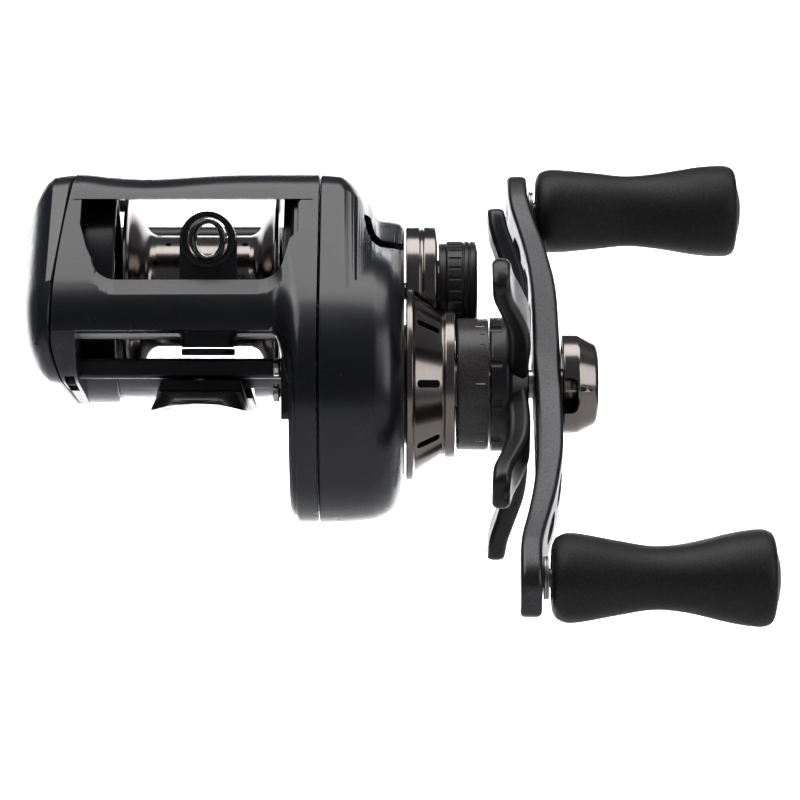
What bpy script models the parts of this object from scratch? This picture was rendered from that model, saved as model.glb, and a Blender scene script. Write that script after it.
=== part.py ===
"""A low-profile baitcasting reel, built as the separate pieces that it comes apart into.

X runs from the palm side to the handle, Y away from the angler's line towards the thumb bar, and Z up
from the rod. The origin is the middle of the reel foot's saddle. Lengths are in millimetres, and the
helpers scale them to metres.
"""

import math

import bmesh
import bpy
from mathutils import Vector

MM = 0.001
GAP = 0.3  # between pieces that touch

# Lines that run along X, as (Y, Z)
SPOOL_AXIS = (3.0, 18.9)
DRIVE_AXIS = (-12.0, 3.2)
WORM_AXIS = (-20.0, 15.0)
IDLER_AXIS = (-19.6, 8.0)
ROD_AXIS = (-17.2, 11.4)

# Side outlines are the convex hulls of circles (Y, Z, radius)
SPOOL_CIRCLE = (*SPOOL_AXIS, 19.2)
NOSE_CIRCLE = (-18.0, 13.5, 10.5)
SHOULDER_CIRCLE = (-8.5, 30.3, 7.5)
REAR_CIRCLE = (15.5, 21.0, 11.0)
GEAR_CIRCLE = (*DRIVE_AXIS, 22.8)
PALM_SIDE = (SPOOL_CIRCLE, NOSE_CIRCLE, SHOULDER_CIRCLE, REAR_CIRCLE)
GEAR_SIDE = (*PALM_SIDE, GEAR_CIRCLE)
OUTLINE_POINTS = 40

# Stations along X
PALM_TIP = -29.5
LEFT_WALL_INNER = -19.5
LIP_LEFT = -14.2
LIP_RIGHT = 13.3
RIGHT_STEP = 14.7
RIGHT_WALL = (15.8, 19.1)
BORE_RADIUS = 17.5

# Gears: teeth, pitch radius, and the stretch of X that each fills
CENTRE_DISTANCE = math.dist(SPOOL_AXIS, DRIVE_AXIS)
MAIN_TEETH, PINION_TEETH = 64, 10
MAIN_RADIUS = CENTRE_DISTANCE * MAIN_TEETH / (MAIN_TEETH + PINION_TEETH)
PINION_RADIUS = CENTRE_DISTANCE - MAIN_RADIUS
GUIDE_TEETH, IDLER_TEETH, COG_TEETH = 24, 12, 16
RATCHET_TEETH = 12
GUIDE_MODULE = 0.5
MAIN_X = (23.1, 25.7)
GUIDE_X = (20.6, 21.8)

# Handle and star
KNOB_DISTANCE = 45.0
HANDLE_ANGLE = math.radians(222.0)  # of the lower arm, from +Y towards +Z
STAR_ANGLES = [math.radians(180 + turn) for turn in (-36, 36, -108, 108, 180)]

ROTATION = {"X": (math.pi / 2, 0, math.pi / 2), "Y": (math.pi / 2, 0, 0), "Z": (0, 0, 0)}

# Finishes: colour, metallic, roughness
GLOSS_BLACK = ((0.012, 0.012, 0.016, 1), 0.0, 0.12)
SATIN_BLACK = ((0.02, 0.02, 0.022, 1), 0.2, 0.4)
GUNMETAL = ((0.25, 0.22, 0.2, 1), 1.0, 0.22)
DARK_ALLOY = ((0.09, 0.09, 0.1, 1), 0.9, 0.38)
STEEL = ((0.62, 0.62, 0.62, 1), 1.0, 0.28)
BRASS = ((0.7, 0.52, 0.22, 1), 1.0, 0.3)
FIBRE = ((0.05, 0.05, 0.05, 1), 0.0, 0.8)
FOAM = ((0.015, 0.015, 0.015, 1), 0.0, 0.75)
CERAMIC = ((0.06, 0.055, 0.05, 1), 0.0, 0.2)


# ---------------------------------------------------------------- scene and helpers

for old in list(bpy.data.objects):
    bpy.data.objects.remove(old)
PARTS = bpy.data.collections.new("baitcasting_reel")
CUTTERS = bpy.data.collections.new("cutters")
bpy.context.scene.collection.children.link(PARTS)
bpy.context.scene.collection.children.link(CUTTERS)


def joint_axis(name, x, line):
    empty = bpy.data.objects.new(name, None)
    empty.location = Vector((x, *line)) * MM
    empty.empty_display_size = 0.005
    PARTS.objects.link(empty)
    bpy.context.view_layer.update()
    return empty


def new_object(name, mesh, at=(0, 0, 0), axis=None, smooth=40):
    obj = bpy.data.objects.new(name, mesh)
    obj.location = Vector(at) * MM
    if axis:
        obj.rotation_euler = ROTATION[axis]
    mesh.shade_smooth()
    mesh.set_sharp_from_angle(angle=math.radians(smooth))
    PARTS.objects.link(obj)
    bpy.context.view_layer.update()
    return obj


def finish(obj, look, parent=None):
    """Gives a piece its own material and, if it moves, the empty on its joint's axis as its parent."""
    material = bpy.data.materials.new(obj.name + "_finish")
    material.use_nodes = True
    shader = material.node_tree.nodes["Principled BSDF"]
    shader.inputs["Base Color"].default_value = look[0]
    shader.inputs["Metallic"].default_value = look[1]
    shader.inputs["Roughness"].default_value = look[2]
    material.diffuse_color = look[0]
    obj.data.materials.append(material)
    if parent:
        obj.parent = parent
        obj.matrix_parent_inverse = parent.matrix_world.inverted()
    return obj


def turned(name, line, profile, sides=20, axis="X"):
    """A turned piece. The profile is (distance along the axis, radius), from the far end back to the near
    one, and a piece with a bore goes back along it. `line` is the axis as (Y, Z), or (X, Y) for axis Z."""
    mesh = bpy.data.meshes.new(name)
    points = [(radius * MM, 0, along * MM) for along, radius in profile]
    edges = [(i, i + 1) for i in range(len(points) - 1)]
    if profile[0][1] > 0:
        edges.append((len(points) - 1, 0))
    mesh.from_pydata(points, edges, [])
    obj = new_object(name, mesh, (0, *line) if axis == "X" else (*line, 0), axis)
    screw = obj.modifiers.new("Turn", "SCREW")
    screw.steps = sides
    screw.render_steps = sides
    screw.use_merge_vertices = True
    screw.merge_threshold = 0.00001
    return obj


def ring(name, line, x_low, x_high, inner, outer, sides=20):
    return turned(name, line, [(x_high, inner), (x_high, outer), (x_low, outer), (x_low, inner)], sides)


def rod(name, line, low, high, radius, sides=12, axis="X"):
    return turned(name, line, [(high, 0), (high, radius), (low, radius), (low, 0)], sides, axis)


def plate(name, loops, low, high, line=(0, 0), axis="X"):
    """Flat outlines filled and drawn out from low to high along the axis. Loops after the first are holes."""
    curve = bpy.data.curves.new(name, "CURVE")
    curve.dimensions = "2D"
    curve.fill_mode = "BOTH"
    curve.extrude = (high - low) / 2 * MM
    for loop in loops:
        spline = curve.splines.new("POLY")
        spline.points.add(len(loop) - 1)
        for point, (u, v) in zip(spline.points, loop):
            point.co = (u * MM, v * MM, 0, 1)
        spline.use_cyclic_u = True
    middle = (low + high) / 2
    at = {"X": (middle, *line), "Y": (line[0], middle, line[1]), "Z": (*line, middle)}[axis]
    return meshed(name, curve, at, axis)


def meshed(name, curve, at, axis):
    """The closed mesh of a curve, placed like the curve, which is then removed."""
    source = bpy.data.objects.new(name + "_curve", curve)
    PARTS.objects.link(source)
    graph = bpy.context.evaluated_depsgraph_get()
    mesh = bpy.data.meshes.new_from_object(source.evaluated_get(graph))
    bpy.data.objects.remove(source)
    bm = bmesh.new()
    bm.from_mesh(mesh)
    bmesh.ops.remove_doubles(bm, verts=bm.verts, dist=0.000001)
    bmesh.ops.recalc_face_normals(bm, faces=bm.faces)
    bm.to_mesh(mesh)
    bm.free()
    mesh.name = name
    return new_object(name, mesh, at, axis)


def loft(name, rings, smooth=40):
    """A skin over rings of equal point count, closed at both ends by a fan to the ring's middle."""
    bm = bmesh.new()
    rows = [[bm.verts.new(Vector(point) * MM) for point in ring] for ring in rings]
    for row, following in zip(rows, rows[1:]):
        for i in range(len(row)):
            j = (i + 1) % len(row)
            bm.faces.new((row[i], row[j], following[j], following[i]))
    for row in (rows[0], rows[-1]):
        hub = bm.verts.new(sum((vert.co for vert in row), Vector()) / len(row))
        for i in range(len(row)):
            bm.faces.new((row[i], row[(i + 1) % len(row)], hub))
    bmesh.ops.recalc_face_normals(bm, faces=bm.faces)
    mesh = bpy.data.meshes.new(name)
    bm.to_mesh(mesh)
    bm.free()
    return new_object(name, mesh, smooth=smooth)


def box(name, low, high):
    bm = bmesh.new()
    bmesh.ops.create_cube(bm, size=1)
    size = Vector(high) - Vector(low)
    bmesh.ops.scale(bm, vec=size * MM, verts=bm.verts)
    mesh = bpy.data.meshes.new(name)
    bm.to_mesh(mesh)
    bm.free()
    return new_object(name, mesh, (Vector(low) + Vector(high)) / 2)


def combine(target, operation, *tools):
    for tool in tools:
        PARTS.objects.unlink(tool)
        CUTTERS.objects.link(tool)
        tool.hide_render = True
        tool.display_type = "WIRE"
        modifier = target.modifiers.new(operation.title() + " " + tool.name, "BOOLEAN")
        modifier.operation = operation
        modifier.object = tool
    return target


def cut(target, *tools):
    return combine(target, "DIFFERENCE", *tools)


def join(target, *tools):
    return combine(target, "UNION", *tools)


def polar(radius, angle, centre=(0, 0)):
    return centre[0] + radius * math.cos(angle), centre[1] + radius * math.sin(angle)


def circle(radius, sides=16, centre=(0, 0)):
    return [polar(radius, 2 * math.pi * i / sides, centre) for i in range(sides)]


def oval(half_u, half_v, sides=20, centre=(0, 0)):
    points = circle(1, sides)
    return [(centre[0] + half_u * u, centre[1] + half_v * v) for u, v in points]


def hull_point(circles, angle, inset=0.0):
    """The point where the circles' convex outline faces this way."""
    u, v = math.cos(angle), math.sin(angle)
    y, z, radius = max(circles, key=lambda c: c[0] * u + c[1] * v + max(c[2] - inset, 0))
    reach = max(radius - inset, 0)
    return y + reach * u, z + reach * v


def hull(circles, inset=0.0, count=OUTLINE_POINTS):
    return [hull_point(circles, 2 * math.pi * i / count, inset) for i in range(count)]


def at_x(x, outline):
    return [(x, y, z) for y, z in outline]


def parting_x(z):
    """Where the palm plate meets the frame: a line that leans inwards above and below the nose."""
    if z > 9.7:
        return -23.6 + 2.5 * ((z - 9.7) / 28) ** 2
    return -23.6 + 2.4 * ((9.7 - z) / 10) ** 1.3


def parting_ring(circles, inset, shift):
    return [(parting_x(z) + shift, y, z) for y, z in hull(circles, inset)]


def mixed(ring_a, ring_b, share):
    return [tuple(Vector(a).lerp(Vector(b), share)) for a, b in zip(ring_a, ring_b)]


def gear_outline(teeth, pitch_radius, phase):
    """Straight-flanked teeth, narrower than their gaps, one of them centred on the phase angle."""
    module = 2 * pitch_radius / teeth
    root, tip = pitch_radius - 1.05 * module, pitch_radius + 0.8 * module
    step = 2 * math.pi / teeth
    corners = ((-0.2, root), (-0.09, tip), (0.09, tip), (0.2, root))
    return [polar(r, phase + (tooth + part) * step) for tooth in range(teeth) for part, r in corners]


def direction(start, end):
    return math.atan2(end[1] - start[1], end[0] - start[0])


def meshed_phase(teeth_a, phase_a, teeth_b, towards_b):
    """The phase that gives gear B a gap wherever gear A has a tooth between them."""
    past_line = (phase_a - towards_b) % (2 * math.pi / teeth_a)
    return towards_b + math.pi - past_line * teeth_a / teeth_b + math.pi / teeth_b


def bar_along(name, stations, angle, line):
    """A flat arm that runs out from `line` at this angle. Stations are (distance, x_low, x_high, half width)."""
    u, v = math.cos(angle), math.sin(angle)
    rings = []
    for reach, x_low, x_high, half in stations:
        corners = ((x_low, -half), (x_high, -half), (x_high, half), (x_low, half))
        rings.append([(x, line[0] + reach * u - w * v, line[1] + reach * v + w * u) for x, w in corners])
    return loft(name, rings, smooth=30)


# ---------------------------------------------------------------- joint axes

CRANK = joint_axis("crank_axis", 0, DRIVE_AXIS)
SPOOL = joint_axis("spool_centre_line", 0, SPOOL_AXIS)
WORM = joint_axis("worm_axis", 0, WORM_AXIS)
IDLER = joint_axis("idler_axis", 0, IDLER_AXIS)
KNOB_CENTRES = [polar(KNOB_DISTANCE, HANDLE_ANGLE + turn, DRIVE_AXIS) for turn in (0, math.pi)]
KNOB_AXES = [joint_axis("knob_axis_" + letter, 0, at) for letter, at in zip("ab", KNOB_CENTRES)]


# ---------------------------------------------------------------- frame and foot

FASCIA_BOTTOM = math.radians(194)
TOP_BAR_BACK = math.radians(92)
SKIN_THICKNESS = 3.4
SKIN_INSET = 0.1  # the skin lies this far inside the walls' outlines
TOP_BAR_REAR_Y = -5.5
COVER_SCREW_LINES = ((-19.8, 6.0), (-19.8, 1.8))
PIN_SIDE = direction(DRIVE_AXIS, SPOOL_AXIS) - math.pi / 2
PIN_REACH = 7.5
YOKE_PIN_LINES = [polar(PIN_REACH, PIN_SIDE + turn, SPOOL_AXIS) for turn in (math.pi, 0)]


def skin_section(x, share):
    """The front skin's section at x: fascia, front edge and top bar, from the palm outline to the gear one."""
    count = 14
    angles = [FASCIA_BOTTOM + (TOP_BAR_BACK - FASCIA_BOTTOM) * i / (count - 1) for i in range(count)]
    section = []
    for inset in (SKIN_INSET, SKIN_THICKNESS):
        side = []
        for angle in angles:
            palm, gear = hull_point(PALM_SIDE, angle, inset), hull_point(GEAR_SIDE, angle, inset)
            side.append(tuple(a + (b - a) * share for a, b in zip(palm, gear)))
        side.append((TOP_BAR_REAR_Y, side[-1][1]))
        section.append(side)
    return at_x(x, section[0] + section[1][::-1])


def make_frame():
    frame = loft("frame", [
        parting_ring(PALM_SIDE, 0, GAP),
        at_x(LEFT_WALL_INNER, hull(PALM_SIDE)),
    ])
    cut(frame, rod("palm_bore", SPOOL_AXIS, -30, -15, BORE_RADIUS + 0.3, 36))
    right_wall = loft("right_wall", [
        at_x(RIGHT_STEP, hull(GEAR_SIDE, 1.2)),
        at_x(RIGHT_WALL[0] - 0.1, hull(GEAR_SIDE, 1.2)),
        at_x(RIGHT_WALL[0], hull(GEAR_SIDE)),
        at_x(RIGHT_WALL[1], hull(GEAR_SIDE)),
    ])
    left_lip = ring("left_lip", SPOOL_AXIS, LEFT_WALL_INNER - 1, LIP_LEFT, BORE_RADIUS, 18.9, 36)
    right_lip = ring("right_lip", SPOOL_AXIS, LIP_RIGHT, RIGHT_STEP + 0.5, 17.4, 18.9, 36)
    for lip in (left_lip, right_lip):
        cut(lip, box(lip.name + "_thumb_room", (-30, 13.7, 17.5), (30, 30, 42)))
    skin_stations = ((-20.3, 0), (12.2, 0), (13.8, 0.1), (14.6, 0.35), (15.4, 0.8), (16.2, 0.96), (17.5, 0.96))
    skin = loft("front_skin", [skin_section(x, share) for x, share in skin_stations])
    cut(skin, plate("window", [rounded_window()], -36, -7, axis="Y"))
    front_bar = box("front_bar", (-20.2, -18, 4.1), (15.3, -9.3, 7.4))
    rear_bar = box("rear_bar", (-20.2, 15.3, 4.1), (15.3, 24, 7.4))
    for bar in (front_bar, rear_bar):
        cut(bar, rod(bar.name + "_spool_room", SPOOL_AXIS, -25, 20, BORE_RADIUS + 0.2, 36))
    trough_arc = [math.radians(222 + 96 * i / 16) for i in range(17)]
    trough_loop = [polar(18.0, a) for a in trough_arc] + [polar(17.1, a) for a in reversed(trough_arc)]
    trough = plate("trough", [trough_loop], LIP_LEFT - 0.6, LIP_RIGHT + 0.7, SPOOL_AXIS)
    boss = box("corner_boss", (13.2, -22.0, -2.6), (15.2, -15.0, 7.6))
    join(frame, right_wall, left_lip, right_lip, skin, front_bar, rear_bar, trough, boss)
    cut(frame,
        box("foot_window", (-8.15, -12.5, -3), (8.15, 19, 2.6)),
        box("thumb_slot", (13, 20.8, 17.8), (22, 23.8, 26.4)),
        rod("pinion_bore", SPOOL_AXIS, 12, 22, 4.0),
        rod("drive_bore", DRIVE_AXIS, 15.9, 22, 4.7),
        rod("worm_bore", WORM_AXIS, 12, 22, 1.8),
        rod("bush_pocket", WORM_AXIS, -21.8, -15, 2.6),
        rod("rod_pocket", ROD_AXIS, -21.2, 16.9, 1.3),
        box("lock_slot", (-21.6, -23, -2), (-20.0, -12.6, 5.2)),
        rod("front_screw_hole", (0, -15), 3, 6.9, 1.4, axis="Z"),
        rod("rear_screw_hole", (0, 20.5), 3, 6.9, 1.4, axis="Z"))
    for number, line in enumerate(COVER_SCREW_LINES):
        cut(frame, rod(f"cover_screw_hole_{number}", line, 12, 18.0, 1.0, 12))
    for number, line in enumerate(YOKE_PIN_LINES):
        cut(frame, rod(f"yoke_pin_hole_{number}", line, 17.2, 22, 1.1))
    join(frame, rod("idler_stud", IDLER_AXIS, 18.5, 22.3, 0.9))
    return finish(frame, GLOSS_BLACK)


def rounded_window():
    """The front window in X and Z: wide under the top bar, narrower above the fascia, round lower corners."""
    top, bottom, radius = 33.4, 19.9, 4.0
    left = [(-21.0, top), (-17.5, bottom + radius + 3)]
    right = [(13.5, bottom + radius + 3), (18.6, top)]
    left_corner = [polar(radius, math.radians(195 + 15 * i), (-13.5, bottom + radius)) for i in range(6)]
    right_corner = [polar(radius, math.radians(270 + 15 * i), (9.8, bottom + radius)) for i in range(6)]
    return left + left_corner + right_corner + right


SADDLE = 0.0216  # rise of the foot's underside towards its middle, per mm squared
SADDLE_FLAT = 1.5


def foot_section(y, top, half_bottom, half_top):
    """A section across the foot: hollow below to sit on the rod seat, flat above."""
    shares = (-1, -0.6, -0.38, 0.38, 0.6, 1)
    middle = min(SADDLE_FLAT, half_bottom / 2)
    xs = [share * half_bottom if abs(share) > 0.5 else math.copysign(middle, share) for share in shares]
    below = [(x, y, -SADDLE * max(x * x - SADDLE_FLAT**2, 0)) for x in xs]
    edge = below[-1][2] + 0.5
    above = [(half_bottom, y, edge), (half_top, y, top), (-half_top, y, top), (-half_bottom, y, edge)]
    return below + above


def make_foot():
    stations = (
        (-31.0, 0.6, 3.6, 3.0), (-29.6, 1.5, 6.0, 4.8), (-26.5, 1.9, 7.4, 6.2), (-18.4, 1.9, 7.75, 6.6),
        (-18.1, 3.8, 7.75, 6.4), (-12.9, 3.8, 7.75, 6.4), (-12.6, 0.9, 7.75, 7.0), (16.8, 0.9, 7.75, 7.0),
        (17.9, 1.9, 7.75, 6.6), (18.2, 3.8, 7.75, 6.4), (22.8, 3.8, 7.75, 6.4), (23.1, 1.9, 7.75, 6.6),
        (26.5, 1.9, 7.4, 6.2), (29.6, 1.5, 6.0, 4.8), (31.0, 0.6, 3.6, 3.0))
    foot = loft("reel_foot", [foot_section(*station) for station in stations], smooth=30)
    for label, y in (("front", -15.0), ("rear", 20.5)):
        cut(foot,
            rod(f"{label}_head_room", (0, y), -3, 1.9, 2.4, axis="Z"),
            rod(f"{label}_shank_room", (0, y), 1, 5, 1.4, axis="Z"))
        profile = [(6.6, 0), (6.6, 1.1), (1.6, 1.1), (1.6, 2.0), (0.4, 2.0), (0.4, 0)]
        finish(turned(f"foot_screw_{label}", (0, y), profile, 16, "Z"), STEEL)
    return finish(foot, DARK_ALLOY)


def make_cover_screws():
    for label, line in zip(("upper", "lower"), COVER_SCREW_LINES):
        profile = [(17.6, 0), (17.6, 0.7), (12.9, 0.7), (12.9, 1.5), (11.9, 1.5), (11.9, 0)]
        finish(turned(f"cover_screw_{label}", line, profile, 16), STEEL)


# ---------------------------------------------------------------- gear cover, bezel, tension side

# (x, spool radius, how far the small circles have moved to the spool, their inset, gear radius)
COVER_STATIONS = (
    (19.4, 19.2, 0.0, 0.0, 22.8), (23.3, 18.8, 0.0, 0.4, 22.7), (25.5, 17.6, 0.1, 1.4, 22.6),
    (27.4, 15.2, 0.35, 3.0, 22.4), (28.8, 11.9, 1.0, 7.0, 22.1), (31.0, 11.7, 1.0, 7.0, 21.0),
    (32.4, 11.5, 1.0, 7.0, 19.2), (33.1, 10.9, 1.0, 7.0, 17.0))
COVER_WALL = 1.6


def cover_outline(station, inset):
    _, spool_radius, share, trim, gear_radius = station
    circles = [(*SPOOL_AXIS, spool_radius), (*DRIVE_AXIS, gear_radius)]
    for y, z, radius in (NOSE_CIRCLE, SHOULDER_CIRCLE, REAR_CIRCLE):
        centre = Vector((y, z)).lerp(Vector(SPOOL_AXIS), share)
        circles.append((*centre, radius - trim))
    return hull(circles, inset)


def make_gear_cover():
    cover = loft("gear_cover", [at_x(station[0], cover_outline(station, 0)) for station in COVER_STATIONS])
    hollow = [at_x(station[0], cover_outline(station, COVER_WALL)) for station in COVER_STATIONS[1:6]]
    hollow.insert(0, at_x(18, cover_outline(COVER_STATIONS[0], COVER_WALL)))
    hollow.append(at_x(31.6, cover_outline(COVER_STATIONS[6], COVER_WALL)))
    cut(cover, loft("cover_hollow", hollow))
    join(cover, rod("nozzle", DRIVE_AXIS, 32.2, 40.4, 9.8, 32))
    cut(cover,
        rod("nozzle_bore", DRIVE_AXIS, 33.7, 45, 8.2, 32),
        rod("sleeve_hole", DRIVE_AXIS, 25, 45, 4.6),
        rod("shaft_hole", SPOOL_AXIS, 25, 40, 5.3))
    return finish(cover, GLOSS_BLACK)


BEZEL_SLOTS = 8
SLOT_HALF = 0.65


def make_bezel():
    profile = [
        (41.3, 10.2), (41.3, 12.1), (39.7, 12.1), (39.4, 11.7), (34.6, 14.7), (34.5, 15.8),
        (33.4, 15.8), (33.4, 14.0), (34.4, 13.4), (39.2, 10.4), (39.8, 10.2)]
    bezel = turned("shaft_bezel", DRIVE_AXIS, profile, 36)
    angles = [math.pi + 2 * math.pi * i / BEZEL_SLOTS for i in range(BEZEL_SLOTS)]
    cut(bezel, *[slot_cutter(f"bezel_slot_{i}", angle) for i, angle in enumerate(angles)])
    return finish(bezel, GUNMETAL)


def slot_cutter(name, angle):
    stations = ((9.5, 35.3, 38.7, SLOT_HALF), (18, 35.3, 38.7, SLOT_HALF))
    return bar_along(name, stations, angle, DRIVE_AXIS)


def make_tension_side():
    profile = [
        (43.0, 1.9), (43.0, 5.2), (38.6, 5.2), (38.6, 10.4), (38.1, 10.9), (33.4, 10.9), (33.4, 3.9),
        (36.5, 3.9), (36.5, 1.9)]
    boss = turned("tension_boss", SPOOL_AXIS, profile, 32)
    envelope = turned("bezel_envelope", DRIVE_AXIS,
                      [(42, 0), (42, 12.5), (39.4, 12.5), (34.8, 16.1), (30, 16.1), (30, 0)], 36)
    cut(boss, envelope)
    finish(boss, GUNMETAL)
    bearing = ring("spool_bearing_right", SPOOL_AXIS, 33.9, 36.2, 1.85, 3.6)
    finish(bearing, STEEL)
    knob_profile = [
        (45.3, 0), (45.3, 7.8), (44.9, 8.4), (40.1, 8.4), (40.1, 8.0), (38.9, 8.0), (38.9, 5.5),
        (43.4, 5.5), (43.4, 0)]
    knob = turned("tension_knob", SPOOL_AXIS, knob_profile, 32)
    finish(knob, SATIN_BLACK, joint_axis("tension_axis", 0, SPOOL_AXIS))


# ---------------------------------------------------------------- palm plate, brake and lock

DIAL_RADIUS = 9.4
PALM = joint_axis("palm_plate_slide", 0, SPOOL_AXIS)


def make_palm_plate():
    dial_ring = hull(((*SPOOL_AXIS, DIAL_RADIUS),))
    rings = [
        parting_ring(PALM_SIDE, 0, 0),
        at_x(-24.4, hull(PALM_SIDE, 0.5)),
        at_x(-25.7, hull(PALM_SIDE, 1.6)),
        at_x(-27.0, hull(PALM_SIDE, 3.3)),
        at_x(-28.3, hull(PALM_SIDE, 6.2)),
        mixed(at_x(-29.2, dial_ring), at_x(-29.2, hull(PALM_SIDE, 8)), 0.4),
        at_x(PALM_TIP, dial_ring),
    ]
    palm = loft("palm_plate", rings)
    hollow = loft("palm_hollow", [
        at_x(-17, hull(PALM_SIDE, 1.8)),
        at_x(-24.4, hull(PALM_SIDE, 2.2)),
        at_x(-25.7, hull(PALM_SIDE, 4.5)),
    ])
    cut(palm, hollow)
    plug = ring("palm_plug", SPOOL_AXIS, -26.2, -15.4, 16.1, 17.1, 36)
    hub = rod("palm_hub", SPOOL_AXIS, -26.2, -17.6, 5.2)
    join(palm, plug, hub)
    seat = [(-12, 0), (-12, 4.3), (-20.6, 4.3), (-20.6, 1.9), (-22.6, 1.9), (-22.6, 0)]
    cut(palm,
        turned("bearing_seat", SPOOL_AXIS, seat),
        rod("dial_recess", SPOOL_AXIS, -35, -27.2, DIAL_RADIUS, 32))
    return finish(palm, GLOSS_BLACK, PALM)


def make_palm_side():
    make_palm_plate()
    finish(ring("spool_bearing_left", SPOOL_AXIS, -20.3, -18.0, 1.85, 4.0), STEEL, PALM)
    dial = turned("brake_dial", SPOOL_AXIS,
                  [(-27.5, 0), (-27.5, 9.1), (-29.1, 9.1), (-29.5, 8.5), (-29.6, 0)], 32)
    finish(dial, SATIN_BLACK, joint_axis("dial_axis", PALM_TIP, SPOOL_AXIS))
    finish(ring("magnet_carrier", SPOOL_AXIS, -18.9, -17.5, 5.6, 15.6, 32), DARK_ALLOY, PALM)
    finish(box("plate_lock", (-21.3, -20.5, 3.0), (-20.3, -16.5, 4.8)), SATIN_BLACK)


# ---------------------------------------------------------------- spool, pinion and clutch

def make_spool():
    profile = [
        (11.0, 1.85), (11.0, 3.2), (9.6, 3.2), (9.6, 8.4), (12.4, 9.4), (12.4, 16.4), (12.1, 16.5), (11.7, 16.4),
        (11.3, 13.2), (8.2, 9.3), (-8.9, 9.3), (-12.1, 13.2), (-12.5, 16.4), (-12.9, 16.5), (-13.2, 16.4),
        (-13.2, 8.8), (8.6, 8.4), (8.6, 3.2), (3.0, 3.2), (3.0, 1.85)]
    finish(turned("spool", SPOOL_AXIS, profile, 36), GUNMETAL, SPOOL)
    shaft = [
        (42.0, 0), (42.0, 1.1), (41.5, 1.5), (21.1, 1.5), (21.1, 2.6), (20.2, 2.6), (20.2, 1.5), (-21.4, 1.5),
        (-21.9, 1.1), (-21.9, 0)]
    finish(turned("spool_shaft", SPOOL_AXIS, shaft, 16), STEEL, SPOOL)


def make_pinion():
    towards_spool = direction(DRIVE_AXIS, SPOOL_AXIS)
    phase = meshed_phase(MAIN_TEETH, towards_spool, PINION_TEETH, towards_spool)
    pinion = plate("pinion_gear", [gear_outline(PINION_TEETH, PINION_RADIUS, phase)], 21.5, 26.3, SPOOL_AXIS)
    neck = turned("pinion_neck", SPOOL_AXIS,
                  [(30.5, 0), (30.5, 3.4), (27.9, 3.4), (27.9, 2.2), (26.0, 2.2), (26.0, 0)], 20)
    join(pinion, neck)
    cut(pinion, rod("pinion_bore_tool", SPOOL_AXIS, 18, 34, 1.9))
    finish(pinion, BRASS, SPOOL)


def turned_about(angle, points):
    cosine, sine = math.cos(angle), math.sin(angle)
    return [(u * cosine - v * sine, u * sine + v * cosine) for u, v in points]


def make_yoke():
    notch = [polar(2.7, math.radians(180 + 30 * i)) for i in range(7)]
    outline = [(-10, -3.4), (10, -3.4), (10, 2.6), (2.7, 3.4)] + notch[::-1] + [(-2.7, 3.4), (-10, 2.6)]
    holes = [circle(1.1, 12, (side * PIN_REACH, 0)) for side in (1, -1)]
    loops = [turned_about(PIN_SIDE, loop) for loop in (outline, *holes)]
    finish(plate("clutch_yoke", loops, 26.6, 27.6, SPOOL_AXIS), STEEL)
    for label, line in zip(("upper", "lower"), YOKE_PIN_LINES):
        finish(rod(f"yoke_pin_{label}", line, 17.5, 31.2, 0.8, 12), STEEL)
        finish(coil(f"yoke_spring_{label}", line, 27.95, 29.5), STEEL)


SPRING_RADIUS, SPRING_WIRE, SPRING_TURNS, TURN_POINTS = 1.5, 0.2, 2.5, 10


def coil(name, line, x_low, x_high):
    curve = bpy.data.curves.new(name, "CURVE")
    curve.dimensions = "3D"
    curve.bevel_depth = SPRING_WIRE * MM
    curve.bevel_resolution = 1
    curve.use_fill_caps = True
    spline = curve.splines.new("POLY")
    count = int(SPRING_TURNS * TURN_POINTS)
    spline.points.add(count)
    low, high = x_low + SPRING_WIRE, x_high - SPRING_WIRE
    for i, point in enumerate(spline.points):
        u, v = polar(SPRING_RADIUS, 2 * math.pi * i / TURN_POINTS)
        point.co = (u * MM, v * MM, (low + (high - low) * i / count) * MM, 1)
    return meshed(name, curve, (0, *line), "X")


def make_thumb_bar():
    section = [
        (20.2, 26.4), (21.0, 25.9), (24.4, 26.2), (25.4, 27.6), (25.2, 29.6), (24.2, 30.6), (22.0, 30.7),
        (20.5, 29.6)]
    bar = plate("thumb_bar", [section], -18.9, 14.2)
    join(bar, box("thumb_lug", (14.0, 21.2, 22.6), (19.1, 23.4, 26.0)),
         box("thumb_lug_root", (12.6, 20.9, 22.6), (14.2, 24.2, 27.0)))
    finish(bar, SATIN_BLACK)
    outline = [(11, 14.2), (17.6, 14.2), (17.6, 19.6), (23.4, 20.4), (23.4, 24.4), (11, 24.4)]
    cam = plate("clutch_cam", [outline], 19.5, 20.3)
    join(cam, box("cam_ramp", (20.1, 11.1, 14.4), (26.1, 12.8, 18.6)))
    finish(cam, STEEL)


# ---------------------------------------------------------------- drive train

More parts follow.
